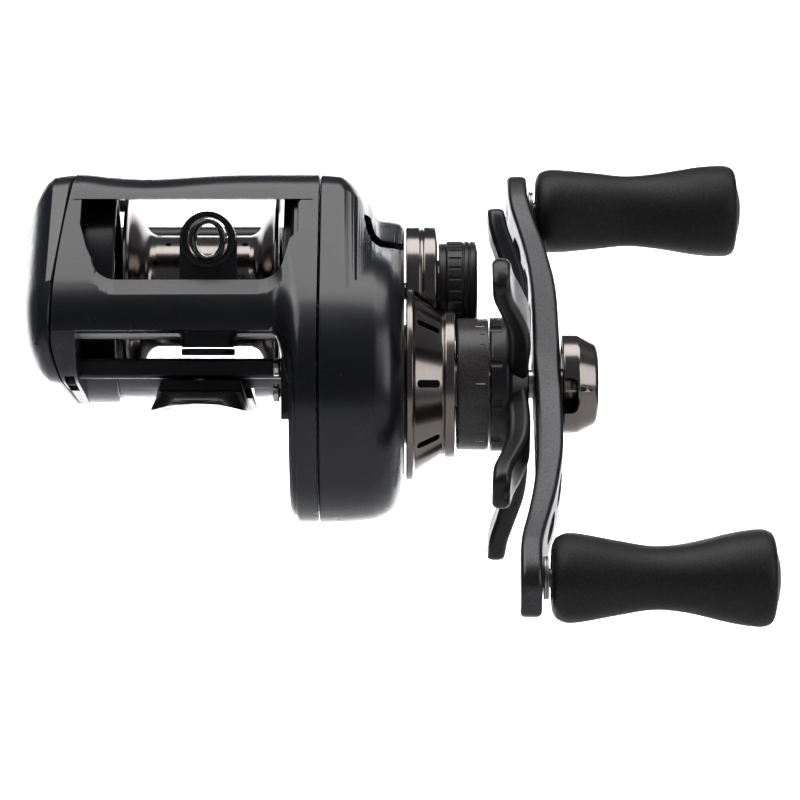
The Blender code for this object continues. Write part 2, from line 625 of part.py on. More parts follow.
def make_drive_train():
    towards_spool = direction(DRIVE_AXIS, SPOOL_AXIS)
    shaft = [
        (60.6, 0), (60.6, 2.0), (60.2, 2.4), (20.3, 2.4), (20.3, 4.4), (19.6, 4.4), (19.6, 1.9), (16.0, 1.9),
        (16.0, 0)]
    finish(turned("drive_shaft", DRIVE_AXIS, shaft, 20), STEEL, CRANK)
    finish(ring("drive_shaft_bearing", DRIVE_AXIS, 16.2, 18.9, 2.25, 4.4), STEEL)
    towards_idler = direction(DRIVE_AXIS, IDLER_AXIS)
    guide_gear = gear_outline(GUIDE_TEETH, GUIDE_MODULE * GUIDE_TEETH / 2, towards_idler)
    finish(plate("level_wind_drive_gear", [guide_gear, circle(2.7)], *GUIDE_X, DRIVE_AXIS), FOAM, CRANK)
    idler_phase = meshed_phase(GUIDE_TEETH, towards_idler, IDLER_TEETH, towards_idler)
    idler = gear_outline(IDLER_TEETH, GUIDE_MODULE * IDLER_TEETH / 2, idler_phase)
    finish(plate("idler_gear", [idler, circle(1.2, 16)], *GUIDE_X, IDLER_AXIS), FOAM, IDLER)
    cog_phase = meshed_phase(IDLER_TEETH, idler_phase, COG_TEETH, direction(IDLER_AXIS, WORM_AXIS))
    cog = gear_outline(COG_TEETH, GUIDE_MODULE * COG_TEETH / 2, cog_phase)
    finish(plate("worm_cog", [cog, circle(1.7, 16)], *GUIDE_X, WORM_AXIS), FOAM, WORM)
    tooth = ((0, 6.2), (0.25, 7.5))
    saw = [polar(radius, 2 * math.pi * (i + lead) / RATCHET_TEETH)
           for i in range(RATCHET_TEETH) for lead, radius in tooth]
    finish(plate("ratchet_wheel", [saw, circle(2.7)], 22.1, 22.8, DRIVE_AXIS), STEEL, CRANK)
    main = gear_outline(MAIN_TEETH, MAIN_RADIUS, towards_spool)
    finish(plate("drive_gear", [main, circle(2.8)], *MAIN_X, DRIVE_AXIS), BRASS, CRANK)
    finish(ring("drag_washer", DRIVE_AXIS, 26.0, 26.6, 2.8, 9.0, 32), FIBRE, CRANK)
    finish(ring("key_washer", DRIVE_AXIS, 26.9, 27.4, 2.75, 8.6, 32), STEEL, CRANK)
    finish(ring("anti_reverse_sleeve", DRIVE_AXIS, 27.7, 43.2, 2.75, 3.6), STEEL, CRANK)
    finish(ring("anti_reverse_bearing", DRIVE_AXIS, 34.0, 39.8, 3.95, 7.9, 32), STEEL)


def make_worm():
    shaft = [
        (22.3, 0), (22.3, 1.4), (14.4, 1.4), (14.4, 2.4), (-19.2, 2.4), (-19.2, 1.1), (-21.4, 1.1), (-21.4, 0)]
    finish(turned("worm_shaft", WORM_AXIS, shaft, 20), STEEL, WORM)
    finish(ring("worm_bush", WORM_AXIS, -21.5, -19.6, 1.4, 2.3), BRASS)
    finish(rod("guide_rod", ROD_AXIS, -20.9, 16.6, 1.0, 12), STEEL)


GUIDE_CENTRE_X = 1.4
GUIDE_HALF = 4.6
EYE_Z = 26.5


def make_line_guide():
    low, high = GUIDE_CENTRE_X - GUIDE_HALF, GUIDE_CENTRE_X + GUIDE_HALF
    guide = rod("line_guide", WORM_AXIS, low, high, 3.9, 28)
    eye = plate("guide_eye", [circle(4.5, 32)], -22.8, -18.2, (GUIDE_CENTRE_X, EYE_Z), "Y")
    stem = box("guide_stem", (low, -20.9, 15), (high, -18.2, EYE_Z))
    rod_block = rod("rod_block", ROD_AXIS, low, high, 2.1, 16)
    pawl_block = box("pawl_block", (low + 0.4, -23.6, 9.1), (high - 0.4, -17.2, 13))
    join(guide, eye, stem, rod_block, pawl_block)
    cut(guide,
        rod("worm_room", WORM_AXIS, -10, 14, 2.7, 20),
        rod("guide_rod_room", ROD_AXIS, -10, 14, 1.3),
        plate("insert_room", [oval(3.3, 3.6, 24)], -30, -10, (GUIDE_CENTRE_X, EYE_Z), "Y"),
        rod("pawl_room", (GUIDE_CENTRE_X, -20.4), 5, 14, 1.7, axis="Z"))
    slide = joint_axis("line_guide_slide", GUIDE_CENTRE_X, WORM_AXIS)
    finish(guide, SATIN_BLACK, slide)
    loops = [oval(3.0, 3.3), oval(1.85, 2.6)]
    finish(plate("guide_insert", loops, -23.2, -17.8, (GUIDE_CENTRE_X, EYE_Z), "Y"), CERAMIC, slide)
    cap = plate("pawl_cap", [oval(4.4, 3.2, 20)], 7.8, 8.9, (GUIDE_CENTRE_X, -20.4), "Z")
    finish(cap, SATIN_BLACK, slide)
    profile = [(12.3, 0), (12.3, 0.5), (11.6, 1.4), (9.3, 1.4), (9.3, 0)]
    pawl = turned("worm_pawl", (GUIDE_CENTRE_X, -20.4), profile, 12, "Z")
    finish(pawl, BRASS, slide)


# ---------------------------------------------------------------- star drag

def make_star():
    hub = turned("star_wheel", DRIVE_AXIS,
                 [(53.3, 2.75), (53.3, 7.6), (50.2, 9.4), (49.9, 11.1), (47.1, 11.1), (47.1, 2.75)], 32)
    for number, angle in enumerate(STAR_ANGLES):
        stations = (
            (6.5, 49.4, 53.0, 4.2), (13.0, 49.7, 53.4, 3.7), (18.0, 49.4, 53.0, 3.5), (22.0, 48.4, 51.8, 3.5),
            (26.0, 47.2, 50.4, 3.7), (29.0, 46.9, 49.8, 3.6), (30.2, 46.9, 49.6, 2.2))
        join(hub, bar_along(f"star_arm_{number}", stations, angle, DRIVE_AXIS))
    finish(hub, SATIN_BLACK, CRANK)
    sleeve = [
        (46.8, 4.1), (46.8, 10.8), (41.6, 10.8), (41.6, 8.2), (45.6, 8.2), (45.6, 4.1)]
    finish(turned("star_sleeve", DRIVE_AXIS, sleeve, 32), SATIN_BLACK, CRANK)
    washer = [(43.9, 3.9), (44.5, 7.4), (44.0, 7.6), (43.4, 3.9)]
    finish(turned("drag_spring_washer", DRIVE_AXIS, washer, 28), STEEL, CRANK)


# ---------------------------------------------------------------- handle

ARM_HALF = (
    (0, 54.2, 58.6, 5.6), (13, 54.2, 58.6, 5.3), (20, 54.1, 58.4, 5.1), (25, 53.8, 57.8, 5.0),
    (30, 53.2, 57.0, 5.0),
    (35, 52.3, 55.9, 5.1), (39.5, 51.4, 54.9, 5.4), (43, 51.0, 54.4, 5.6), (47.5, 50.9, 54.3, 5.2),
    (50, 50.9, 54.3, 3.8), (51, 50.9, 54.3, 2.2))
ARM_SLOTS = ((13.5, 19.5, 2.6), (22.0, 28.5, 2.3), (31.0, 37.0, 2.0))
CAP_WINDOW_ANGLE = math.radians(195)
KNOB_X = (55.8, 90.4)
# (share of the length, half thickness, half width)
KNOB_STATIONS = (
    (0.0, 5.6, 5.9), (0.03, 6.6, 6.9), (0.1, 7.0, 7.2), (0.3, 5.8, 6.6), (0.45, 5.0, 6.1), (0.6, 5.4, 6.5),
    (0.8, 7.0, 7.6), (0.92, 7.6, 7.9), (0.98, 7.3, 7.6), (1.0, 6.4, 6.7))
KNOB_TURN = (math.radians(0), math.radians(90))


def make_handle():
    stations = [(-reach, *rest) for reach, *rest in ARM_HALF[:0:-1]] + list(ARM_HALF)
    arm = bar_along("handle_arm", stations, HANDLE_ANGLE, DRIVE_AXIS)
    cut(arm, rod("arm_shaft_hole", DRIVE_AXIS, 48, 62, 2.7))
    for side, centre in enumerate(KNOB_CENTRES):
        cut(arm, rod(f"arm_pin_hole_{side}", centre, 48, 62, 1.8))
        for number, (near, far, half) in enumerate(ARM_SLOTS):
            stations = ((near, 48, 62, half), (far, 48, 62, half * 0.8))
            angle = HANDLE_ANGLE + side * math.pi
            cut(arm, bar_along(f"arm_slot_{side}_{number}", stations, angle, DRIVE_AXIS))
    finish(arm, DARK_ALLOY, CRANK)
    hexagon = [polar(5.4, math.radians(60 * i + 12)) for i in range(6)]
    finish(plate("handle_nut", [hexagon, circle(2.7)], 58.9, 61.9, DRIVE_AXIS), STEEL, CRANK)
    cap = turned("nut_cap", DRIVE_AXIS,
                 [(64.7, 0), (64.7, 6.6), (61.4, 8.1), (58.9, 8.1), (58.9, 6.3), (62.4, 6.3), (62.4, 0)], 32)
    window = ((5, 57, 61.2, 3.0), (10, 57, 61.2, 3.0))
    cut(cap, bar_along("cap_window", window, CAP_WINDOW_ANGLE, DRIVE_AXIS))
    finish(cap, GUNMETAL, CRANK)


def knob_ring(centre, turn, share, half_thick, half_wide):
    x = KNOB_X[0] + (KNOB_X[1] - KNOB_X[0]) * share
    outline = turned_about(turn, oval(half_wide, half_thick, 20))
    return [(x, centre[0] + y, centre[1] + z) for y, z in outline]


def make_knobs():
    for letter, centre, turn, axis in zip("ab", KNOB_CENTRES, KNOB_TURN, KNOB_AXES):
        pin = [
            (86.4, 0), (86.4, 1.5), (55.4, 1.5), (55.4, 3.4), (54.6, 3.4), (54.6, 1.5), (51.2, 1.5), (51.2, 0)]
        finish(turned(f"knob_pin_{letter}", centre, pin, 16), STEEL, CRANK)
        grip = loft(f"knob_grip_{letter}", [knob_ring(centre, turn, *station) for station in KNOB_STATIONS])
        cut(grip,
            rod(f"grip_bore_{letter}", centre, 50, 95, 3.6),
            rod(f"cap_seat_{letter}", centre, 88.6, 95, 5.0))
        finish(grip, FOAM, axis)
        finish(ring(f"knob_bearing_{letter}", centre, 56.3, 59.0, 1.85, 3.3), STEEL, axis)
        cap = turned(f"knob_cap_{letter}", centre,
                     [(91.3, 0), (91.1, 2.6), (90.5, 4.7), (88.9, 4.7), (88.9, 3.2), (87.0, 3.2), (87.0, 0)], 24)
        finish(cap, SATIN_BLACK, axis)


make_frame()
make_foot()
make_cover_screws()
make_gear_cover()
make_bezel()
make_tension_side()
make_palm_side()
make_spool()
make_pinion()
make_yoke()
make_thumb_bar()
make_drive_train()
make_worm()
make_line_guide()
make_star()
make_handle()
make_knobs()
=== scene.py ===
# %% [markdown]
# # A low-profile baitcasting reel
#
# The reel is a stack of turned and cast pieces on two axes that run along X: the spool's axis and, below and
# in front of it, the drive axis of the handle. The solids that fit and move are loaded first. This lesson
# then makes the surfaces that a hand and an eye meet: lacquered castings, smoked metal, foam knobs.

# %% Load the frame
import math

import bmesh
import bpy
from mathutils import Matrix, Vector


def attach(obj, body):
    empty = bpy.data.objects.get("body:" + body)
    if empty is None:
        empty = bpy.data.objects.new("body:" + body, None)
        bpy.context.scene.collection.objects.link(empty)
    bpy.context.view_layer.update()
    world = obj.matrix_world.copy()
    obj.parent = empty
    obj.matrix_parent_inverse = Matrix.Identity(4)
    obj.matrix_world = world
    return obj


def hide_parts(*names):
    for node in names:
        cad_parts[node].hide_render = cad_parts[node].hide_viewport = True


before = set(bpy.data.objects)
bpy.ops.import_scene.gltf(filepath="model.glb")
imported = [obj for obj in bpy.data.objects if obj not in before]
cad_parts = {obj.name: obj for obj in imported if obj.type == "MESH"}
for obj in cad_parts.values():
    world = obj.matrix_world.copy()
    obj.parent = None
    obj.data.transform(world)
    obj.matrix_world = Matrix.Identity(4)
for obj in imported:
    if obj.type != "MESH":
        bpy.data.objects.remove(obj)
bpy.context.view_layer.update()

# %% [markdown]
# ## Driving dimensions
#
# Lengths are in millimetres, and each helper scales them to metres. Every piece is placed from the axes and
# the stations along X that the solids use, so a fine surface lies where its plain solid does.

# %% Axes and stations
MM = 0.001
SPOOL_AXIS = (3.0, 18.9)
DRIVE_AXIS = (-12.0, 3.2)
WORM_AXIS = (-20.0, 15.0)
ROD_AXIS = (-17.2, 11.4)

SPOOL_CIRCLE = (*SPOOL_AXIS, 19.2)
NOSE_CIRCLE = (-18.0, 13.5, 10.5)
SHOULDER_CIRCLE = (-8.5, 30.3, 7.5)
REAR_CIRCLE = (15.5, 21.0, 11.0)
GEAR_CIRCLE = (*DRIVE_AXIS, 22.8)
PALM_SIDE = (SPOOL_CIRCLE, NOSE_CIRCLE, SHOULDER_CIRCLE, REAR_CIRCLE)
GEAR_SIDE = (*PALM_SIDE, GEAR_CIRCLE)

LEFT_WALL_INNER = -19.5
LIP_LEFT = -14.2
LIP_RIGHT = 13.3
RIGHT_STEP = 14.7
RIGHT_WALL = (15.8, 19.1)
BORE_RADIUS = 17.5
GAP = 0.3
FOOT_SCREWS = {"front": -15.0, "rear": 20.5}
COVER_SCREWS = {"upper": (-19.8, 6.0), "lower": (-19.8, 1.8)}
OUTLINE_POINTS = 160

HANDLE_ANGLE = math.radians(222.0)
KNOB_DISTANCE = 45.0
STAR_ANGLES = [math.radians(180 + turn) for turn in (-36, 36, -108, 108, 180)]
print("axes", math.dist(SPOOL_AXIS, DRIVE_AXIS), "mm apart")

# %% [markdown]
# ## Small effects that several finishes share
#
# Each effect is a shader node group that is built once and placed in every finish that needs it, with its
# own numbers. A group only gives out a mask or a height, and the finish decides what to do with it.


# %% Node group helpers
def new_group(name, inputs, outputs):
    """A shader node group with float sockets, and the nodes that stand at its two ends."""
    group = bpy.data.node_groups.new(name, "ShaderNodeTree")
    for label, value in inputs.items():
        socket = group.interface.new_socket(label, in_out="INPUT", socket_type="NodeSocketFloat")
        socket.default_value = value
    for label in outputs:
        group.interface.new_socket(label, in_out="OUTPUT", socket_type="NodeSocketFloat")
    return group, group.nodes.new("NodeGroupInput"), group.nodes.new("NodeGroupOutput")


def link(tree, start, end):
    tree.links.new(start, end)


def noise_in(group, ends, scale_name, detail, stretch=None):
    """Object-space noise whose scale is one of the group's inputs."""
    place = group.nodes.new("ShaderNodeTexCoord")
    noise = group.nodes.new("ShaderNodeTexNoise")
    noise.inputs["Detail"].default_value = detail
    source = place.outputs["Object"]
    if stretch:
        mapping = group.nodes.new("ShaderNodeMapping")
        mapping.inputs["Scale"].default_value = stretch
        link(group, source, mapping.inputs["Vector"])
        source = mapping.outputs["Vector"]
    link(group, source, noise.inputs["Vector"])
    link(group, ends.outputs[scale_name], noise.inputs["Scale"])
    return noise


# %% Handling marks, grain, turned lines and foam cells
def make_smudge_group():
    """Soft patches where fingers have dulled a polished skin, from low to high roughness."""
    group, start, end = new_group("handling_marks", {"Scale": 60.0, "Low": 0.05, "High": 0.2}, ["Roughness"])
    noise = noise_in(group, start, "Scale", 4)
    spread = group.nodes.new("ShaderNodeMapRange")
    spread.inputs["From Min"].default_value = 0.35
    spread.inputs["From Max"].default_value = 0.7
    link(group, noise.outputs["Fac"], spread.inputs["Value"])
    link(group, start.outputs["Low"], spread.inputs["To Min"])
    link(group, start.outputs["High"], spread.inputs["To Max"])
    link(group, spread.outputs["Result"], end.inputs["Roughness"])
    return group


def make_grain_group():
    """Fine even grain, as blasted or moulded surfaces have: a height, and a mask of its low spots."""
    group, start, end = new_group("fine_grain", {"Scale": 2500.0}, ["Height", "Low spots"])
    noise = noise_in(group, start, "Scale", 2)
    low = group.nodes.new("ShaderNodeMapRange")
    low.inputs["From Min"].default_value = 0.55
    low.inputs["From Max"].default_value = 0.35
    link(group, noise.outputs["Fac"], low.inputs["Value"])
    link(group, noise.outputs["Fac"], end.inputs["Height"])
    link(group, low.outputs["Result"], end.inputs["Low spots"])
    return group


def make_turned_group():
    """The fine lines that a lathe leaves across its axis, which runs along X here."""
    group, start, end = new_group("turned_lines", {"Scale": 900.0}, ["Height"])
    noise = noise_in(group, start, "Scale", 3, stretch=(6.0, 0.25, 0.25))
    link(group, noise.outputs["Fac"], end.inputs["Height"])
    return group


def make_foam_group():
    """The closed cells of a foam grip: a height, and a mask of the cell walls."""
    group, start, end = new_group("foam_cells", {"Scale": 2200.0}, ["Height", "Walls"])
    place = group.nodes.new("ShaderNodeTexCoord")
    cells = group.nodes.new("ShaderNodeTexVoronoi")
    cells.feature = "F1"
    link(group, place.outputs["Object"], cells.inputs["Vector"])
    link(group, start.outputs["Scale"], cells.inputs["Scale"])
    walls = group.nodes.new("ShaderNodeMapRange")
    walls.inputs["From Min"].default_value = 0.35
    walls.inputs["From Max"].default_value = 0.8
    link(group, cells.outputs["Distance"], walls.inputs["Value"])
    link(group, cells.outputs["Distance"], end.inputs["Height"])
    link(group, walls.outputs["Result"], end.inputs["Walls"])
    return group


def make_dust_group():
    """Scattered specks of dust: a mask that is one on a speck."""
    group, start, end = new_group("dust_specks", {"Scale": 700.0, "Amount": 0.3}, ["Mask"])
    noise = noise_in(group, start, "Scale", 6)
    edge = group.nodes.new("ShaderNodeMapRange")
    edge.inputs["From Min"].default_value = 0.68
    edge.inputs["From Max"].default_value = 0.76
    link(group, noise.outputs["Fac"], edge.inputs["Value"])
    link(group, start.outputs["Amount"], edge.inputs["To Max"])
    link(group, edge.outputs["Result"], end.inputs["Mask"])
    return group


SMUDGE = make_smudge_group()
GRAIN = make_grain_group()
TURNED = make_turned_group()
FOAM_CELLS = make_foam_group()
DUST = make_dust_group()
print("effects:", [group.name for group in bpy.data.node_groups])

# %% [markdown]
# ## Finishes
#
# A finish starts as one Principled shader. Its fixed numbers sit on the shader's own sockets, and only what
# changes over the surface comes through nodes: roughness patches, a grain under the light, a little dust.


# %% The start of every finish
def new_finish(name, colour, metallic, roughness, **sockets):
    material = bpy.data.materials.new(name)
    material.use_nodes = True
    shader = material.node_tree.nodes["Principled BSDF"]
    shader.inputs["Base Color"].default_value = (*colour, 1)
    shader.inputs["Metallic"].default_value = metallic
    shader.inputs["Roughness"].default_value = roughness
    for label, value in sockets.items():
        shader.inputs[label.replace("_", " ")].default_value = value
    material.diffuse_color = (*colour, 1)
    return material, shader


def place_group(material, group, **inputs):
    node = material.node_tree.nodes.new("ShaderNodeGroup")
    node.node_tree = group
    for label, value in inputs.items():
        node.inputs[label].default_value = value
    return node


def add_bump(material, shader, height, strength, distance):
    bump = material.node_tree.nodes.new("ShaderNodeBump")
    bump.inputs["Strength"].default_value = strength
    bump.inputs["Distance"].default_value = distance * MM
    link(material.node_tree, height, bump.inputs["Height"])
    link(material.node_tree, bump.outputs["Normal"], shader.inputs["Normal"])


def mix_colour(material, shader, mask, colour, other):
    mix = material.node_tree.nodes.new("ShaderNodeMix")
    mix.data_type = "RGBA"
    mix.inputs["A"].default_value = (*colour, 1)
    mix.inputs["B"].default_value = (*other, 1)
    link(material.node_tree, mask, mix.inputs["Factor"])
    link(material.node_tree, mix.outputs["Result"], shader.inputs["Base Color"])


def add_patches(material, shader, scale, low, high):
    """Lets the roughness wander between low and high, as handled surfaces do."""
    smudge = place_group(material, SMUDGE, Scale=scale, Low=low, High=high)
    link(material.node_tree, smudge.outputs["Roughness"], shader.inputs["Roughness"])


# %% Lacquer
def make_lacquer():
    colour = (0.0035, 0.0035, 0.006)
    material, shader = new_finish("black_lacquer", colour, 0.0, 0.3, Coat_Weight=0.35, Coat_Roughness=0.2)
    add_patches(material, shader, 45.0, 0.24, 0.34)
    dust = place_group(material, DUST, Scale=900.0, Amount=0.12)
    mix_colour(material, shader, dust.outputs["Mask"], colour, (0.12, 0.12, 0.13))
    return material


def make_satin(name, colour, low, high, scale, strength):
    material, shader = new_finish(name, colour, 0.0, low)
    add_patches(material, shader, 80.0, low, high)
    grain = place_group(material, GRAIN, Scale=scale)
    add_bump(material, shader, grain.outputs["Height"], strength, 0.03)
    mix_colour(material, shader, grain.outputs["Low spots"], colour, [c * 0.6 for c in colour])
    return material


# %% Metals
def make_metal(name, colour, low, high, lines=900.0, strength=0.12):
    material, shader = new_finish(name, colour, 1.0, low)
    add_patches(material, shader, 70.0, low, high)
    turned_lines = place_group(material, TURNED, Scale=lines)
    add_bump(material, shader, turned_lines.outputs["Height"], strength, 0.012)
    mix_colour(material, shader, turned_lines.outputs["Height"], [c * 0.85 for c in colour], colour)
    return material


def make_blasted(name, colour, low, high):
    material, shader = new_finish(name, colour, 0.9, low)
    add_patches(material, shader, 55.0, low, high)
    grain = place_group(material, GRAIN, Scale=3200.0)
    add_bump(material, shader, grain.outputs["Height"], 0.25, 0.02)
    mix_colour(material, shader, grain.outputs["Low spots"], colour, [c * 0.75 for c in colour])
    return material


# %% Foam and woven fibre
def make_foam():
    colour = (0.005, 0.005, 0.0053)
    material, shader = new_finish("black_foam", colour, 0.0, 0.55, Specular_IOR_Level=0.35)
    cells = place_group(material, FOAM_CELLS, Scale=2600.0)
    add_bump(material, shader, cells.outputs["Height"], 0.35, 0.05)
    mix_colour(material, shader, cells.outputs["Walls"], colour, (0.011, 0.011, 0.0115))
    add_patches(material, shader, 50.0, 0.44, 0.6)
    return material


def make_weave():
    """A checker gives the over and under of plain woven tows."""
    material, shader = new_finish("woven_fibre", (0.03, 0.03, 0.032), 0.0, 0.5)
    tree = material.node_tree
    place = tree.nodes.new("ShaderNodeTexCoord")
    checker = tree.nodes.new("ShaderNodeTexChecker")
    checker.inputs["Scale"].default_value = 900.0
    checker.inputs["Color1"].default_value = (0.015, 0.015, 0.016, 1)
    checker.inputs["Color2"].default_value = (0.06, 0.06, 0.062, 1)
    link(tree, place.outputs["Object"], checker.inputs["Vector"])
    link(tree, checker.outputs["Color"], shader.inputs["Base Color"])
    add_bump(material, shader, checker.outputs["Fac"], 0.3, 0.05)
    return material


LACQUER = make_lacquer()
SATIN = make_satin("satin_black", (0.008, 0.008, 0.009), 0.28, 0.42, 3000.0, 0.1)
NYLON = make_satin("black_nylon", (0.02, 0.02, 0.021), 0.42, 0.55, 1800.0, 0.2)
GUNMETAL = make_metal("smoked_metal", (0.27, 0.24, 0.225), 0.13, 0.24)
BRIGHT = make_metal("bright_steel", (0.62, 0.6, 0.58), 0.12, 0.25)
STEEL = make_metal("machined_steel", (0.52, 0.52, 0.52), 0.22, 0.38, 700.0, 0.25)
BRASS = make_metal("machined_brass", (0.66, 0.47, 0.2), 0.2, 0.34, 700.0, 0.2)
ALLOY = make_blasted("dark_alloy", (0.075, 0.073, 0.075), 0.3, 0.42)
FOAM = make_foam()
FIBRE = make_weave()
CERAMIC = make_satin("ceramic", (0.018, 0.017, 0.016), 0.08, 0.16, 900.0, 0.02)
PALE_PAINT = make_satin("pale_paint", (0.6, 0.6, 0.58), 0.45, 0.6, 1500.0, 0.1)
WARM_SATIN = make_satin("warm_satin", (0.045, 0.04, 0.038), 0.26, 0.38, 2600.0, 0.1)
print("finishes:", len(bpy.data.materials))

# %% [markdown]
# ## Mesh helpers
#
# Cast shells are skins over rings of points, turned pieces are profiles spun about an axis along X, and flat
# pieces are outlines drawn out. A corner of a profile is rounded first, because a real edge catches light.


# %% Points
def polar(radius, angle, centre=(0, 0)):
    return centre[0] + radius * math.cos(angle), centre[1] + radius * math.sin(angle)


def circle(radius, sides=48, centre=(0, 0)):
    return [polar(radius, 2 * math.pi * i / sides, centre) for i in range(sides)]


def oval(half_u, half_v, sides=64, centre=(0, 0)):
    return [(centre[0] + half_u * u, centre[1] + half_v * v) for u, v in circle(1, sides)]


def hull_point(circles, angle, inset=0.0):
    """The point where the circles' convex outline faces this way."""
    u, v = math.cos(angle), math.sin(angle)
    y, z, radius = max(circles, key=lambda c: c[0] * u + c[1] * v + max(c[2] - inset, 0))
    reach = max(radius - inset, 0)
    return y + reach * u, z + reach * v


def hull(circles, inset=0.0, count=OUTLINE_POINTS):
    return [hull_point(circles, 2 * math.pi * i / count, inset) for i in range(count)]


def at_x(x, outline):
    return [(x, y, z) for y, z in outline]


def turned_about(angle, points):
    cos, sin = math.cos(angle), math.sin(angle)
    return [(u * cos - v * sin, u * sin + v * cos) for u, v in points]


def curve_through(stations, steps):
    """Values on a smooth curve through rows of numbers, `steps` to each stretch (Catmull-Rom)."""
    rows = [stations[0], *stations, stations[-1]]
    result = []
    for a, b, c, d in zip(rows, rows[1:], rows[2:], rows[3:]):
        for step in range(steps):
            t = step / steps
            result.append(tuple(
                0.5 * (2 * q + (r - p) * t + (2 * p - 5 * q + 4 * r - s) * t * t
                       + (3 * q - p - 3 * r + s) * t**3)
                for p, q, r, s in zip(a, b, c, d)))
    result.append(tuple(stations[-1]))
    return result


def rounded(points, radius, closed=True, arc=4):
    """The outline with each corner replaced by a small arc."""
    count = len(points)
    result = []
    for i, corner in enumerate(points):
        if not closed and i in (0, count - 1):
            result.append(corner)
            continue
        here = Vector(corner)
        before, after = Vector(points[i - 1]) - here, Vector(points[(i + 1) % count]) - here
        reach = min(radius, before.length * 0.45, after.length * 0.45)
        start, end = here + before.normalized() * reach, here + after.normalized() * reach
        for step in range(arc + 1):
            t = step / arc
            result.append(tuple(start.lerp(here, t).lerp(here.lerp(end, t), t)))
    return result


# %% Meshes
def new_piece(name, bm, smooth=35):
    bmesh.ops.recalc_face_normals(bm, faces=bm.faces)
    mesh = bpy.data.meshes.new(name)
    bm.to_mesh(mesh)
    bm.free()
    mesh.shade_smooth()
    mesh.set_sharp_from_angle(angle=math.radians(smooth))
    obj = bpy.data.objects.new(name, mesh)
    bpy.context.scene.collection.objects.link(obj)
    return obj


def loft(name, rings, smooth=35, caps=True, wrap=False):
    """A skin over rings of equal point count. Ends close with a fan, or wrap round onto each other."""
    bm = bmesh.new()
    rows = [[bm.verts.new(Vector(point) * MM) for point in ring] for ring in rings]
    pairs = list(zip(rows, rows[1:]))
    if wrap:
        pairs.append((rows[-1], rows[0]))
    for row, following in pairs:
        for i in range(len(row)):
            j = (i + 1) % len(row)
            bm.faces.new((row[i], row[j], following[j], following[i]))
    if caps and not wrap:
        for row in (rows[0], rows[-1]):
            hub = bm.verts.new(sum((vert.co for vert in row), Vector()) / len(row))
            for i in range(len(row)):
                bm.faces.new((row[i], row[(i + 1) % len(row)], hub))
    return new_piece(name, bm, smooth)


def turned(name, line, profile, radius=0.25, sides=112, smooth=35):
    """A turned piece about an axis along X. The profile is (x, radius), a closed loop where it has a bore."""
    bored = profile[0][1] > 0
    points = rounded(profile, radius, closed=bored)
    bm = bmesh.new()
    rows = []
    for x, r in points:
        if r < 1e-6:
            rows.append([bm.verts.new(Vector((x, *line)) * MM)])
        else:
            rows.append([bm.verts.new(Vector((x, *point)) * MM) for point in circle(r, sides, line)])
    pairs = list(zip(rows, rows[1:]))
    if bored:
        pairs.append((rows[-1], rows[0]))
    for row, following in pairs:
        if len(row) == 1 and len(following) == 1:
            continue
        for i in range(sides):
            j = (i + 1) % sides
            corners = [row[i % len(row)], row[j % len(row)],
                       following[j % len(following)], following[i % len(following)]]
            bm.faces.new(list(dict.fromkeys(corners)))
    return new_piece(name, bm, smooth)


def rod(name, line, low, high, radius, sides=64):
    return turned(name, line, [(high, 0), (high, radius), (low, radius), (low, 0)], 0.0001, sides)


def drawn(name, outline, low, high, place, smooth=35):
    """An outline drawn out from low to high. `place` turns (u, v, along) into X, Y, Z."""
    bm = bmesh.new()
    ends = [[bm.verts.new(Vector(place(u, v, along)) * MM) for u, v in outline] for along in (low, high)]
    bm.faces.new(ends[0])
    bm.faces.new(ends[1][::-1])
    for i in range(len(outline)):
        j = (i + 1) % len(outline)
        bm.faces.new((ends[0][i], ends[0][j], ends[1][j], ends[1][i]))
    return new_piece(name, bm, smooth)


def along_x(line):
    return lambda u, v, x: (x, line[0] + u, line[1] + v)


def along_y(x, z):
    return lambda u, v, y: (x + u, y, z + v)


def along_z(x, y):
    return lambda u, v, z: (x + u, y + v, z)


def block(name, low, high):
    outline = [(low[0], low[1]), (high[0], low[1]), (high[0], high[1]), (low[0], high[1])]
    return drawn(name, outline, low[2], high[2], along_z(0, 0))


# %% Joining, cutting and edges
def settle(obj, smooth=35):
    """Makes the result of an object's modifiers its mesh."""
    graph = bpy.context.evaluated_depsgraph_get()
    mesh = bpy.data.meshes.new_from_object(obj.evaluated_get(graph))
    obj.modifiers.clear()
    obj.data = mesh
    mesh.shade_smooth()
    mesh.set_sharp_from_angle(angle=math.radians(smooth))
    return obj


def combine(target, operation, tools):
    for tool in tools:
        modifier = target.modifiers.new(tool.name, "BOOLEAN")
        modifier.operation = operation
        modifier.object = tool
    settle(target)
    for tool in tools:
        bpy.data.objects.remove(tool)
    return target


def merged(pieces):
    """One object from pieces that don't touch each other, so that one Boolean does for them all."""
    bm = bmesh.new()
    for piece in pieces:
        bm.from_mesh(piece.data)
    for piece in pieces[1:]:
        bpy.data.objects.remove(piece)
    bm.to_mesh(pieces[0].data)
    bm.free()
    return pieces[0]


def cut(target, *tools):
    return combine(target, "DIFFERENCE", tools)


def join(target, *tools):
    return combine(target, "UNION", tools)


def soften(obj, width, segments=3, angle=35):
    """Rounds the sharp edges, and lets the flat faces keep their own shading."""
    bevel = obj.modifiers.new("Soft edges", "BEVEL")
    bevel.width = width * MM
    bevel.segments = segments
    bevel.limit_method = "ANGLE"
    bevel.angle_limit = math.radians(angle)
    bevel.use_clamp_overlap = True
    bevel.miter_outer = "MITER_ARC"
    weighted = obj.modifiers.new("Even shading", "WEIGHTED_NORMAL")
    weighted.keep_sharp = True
    return obj


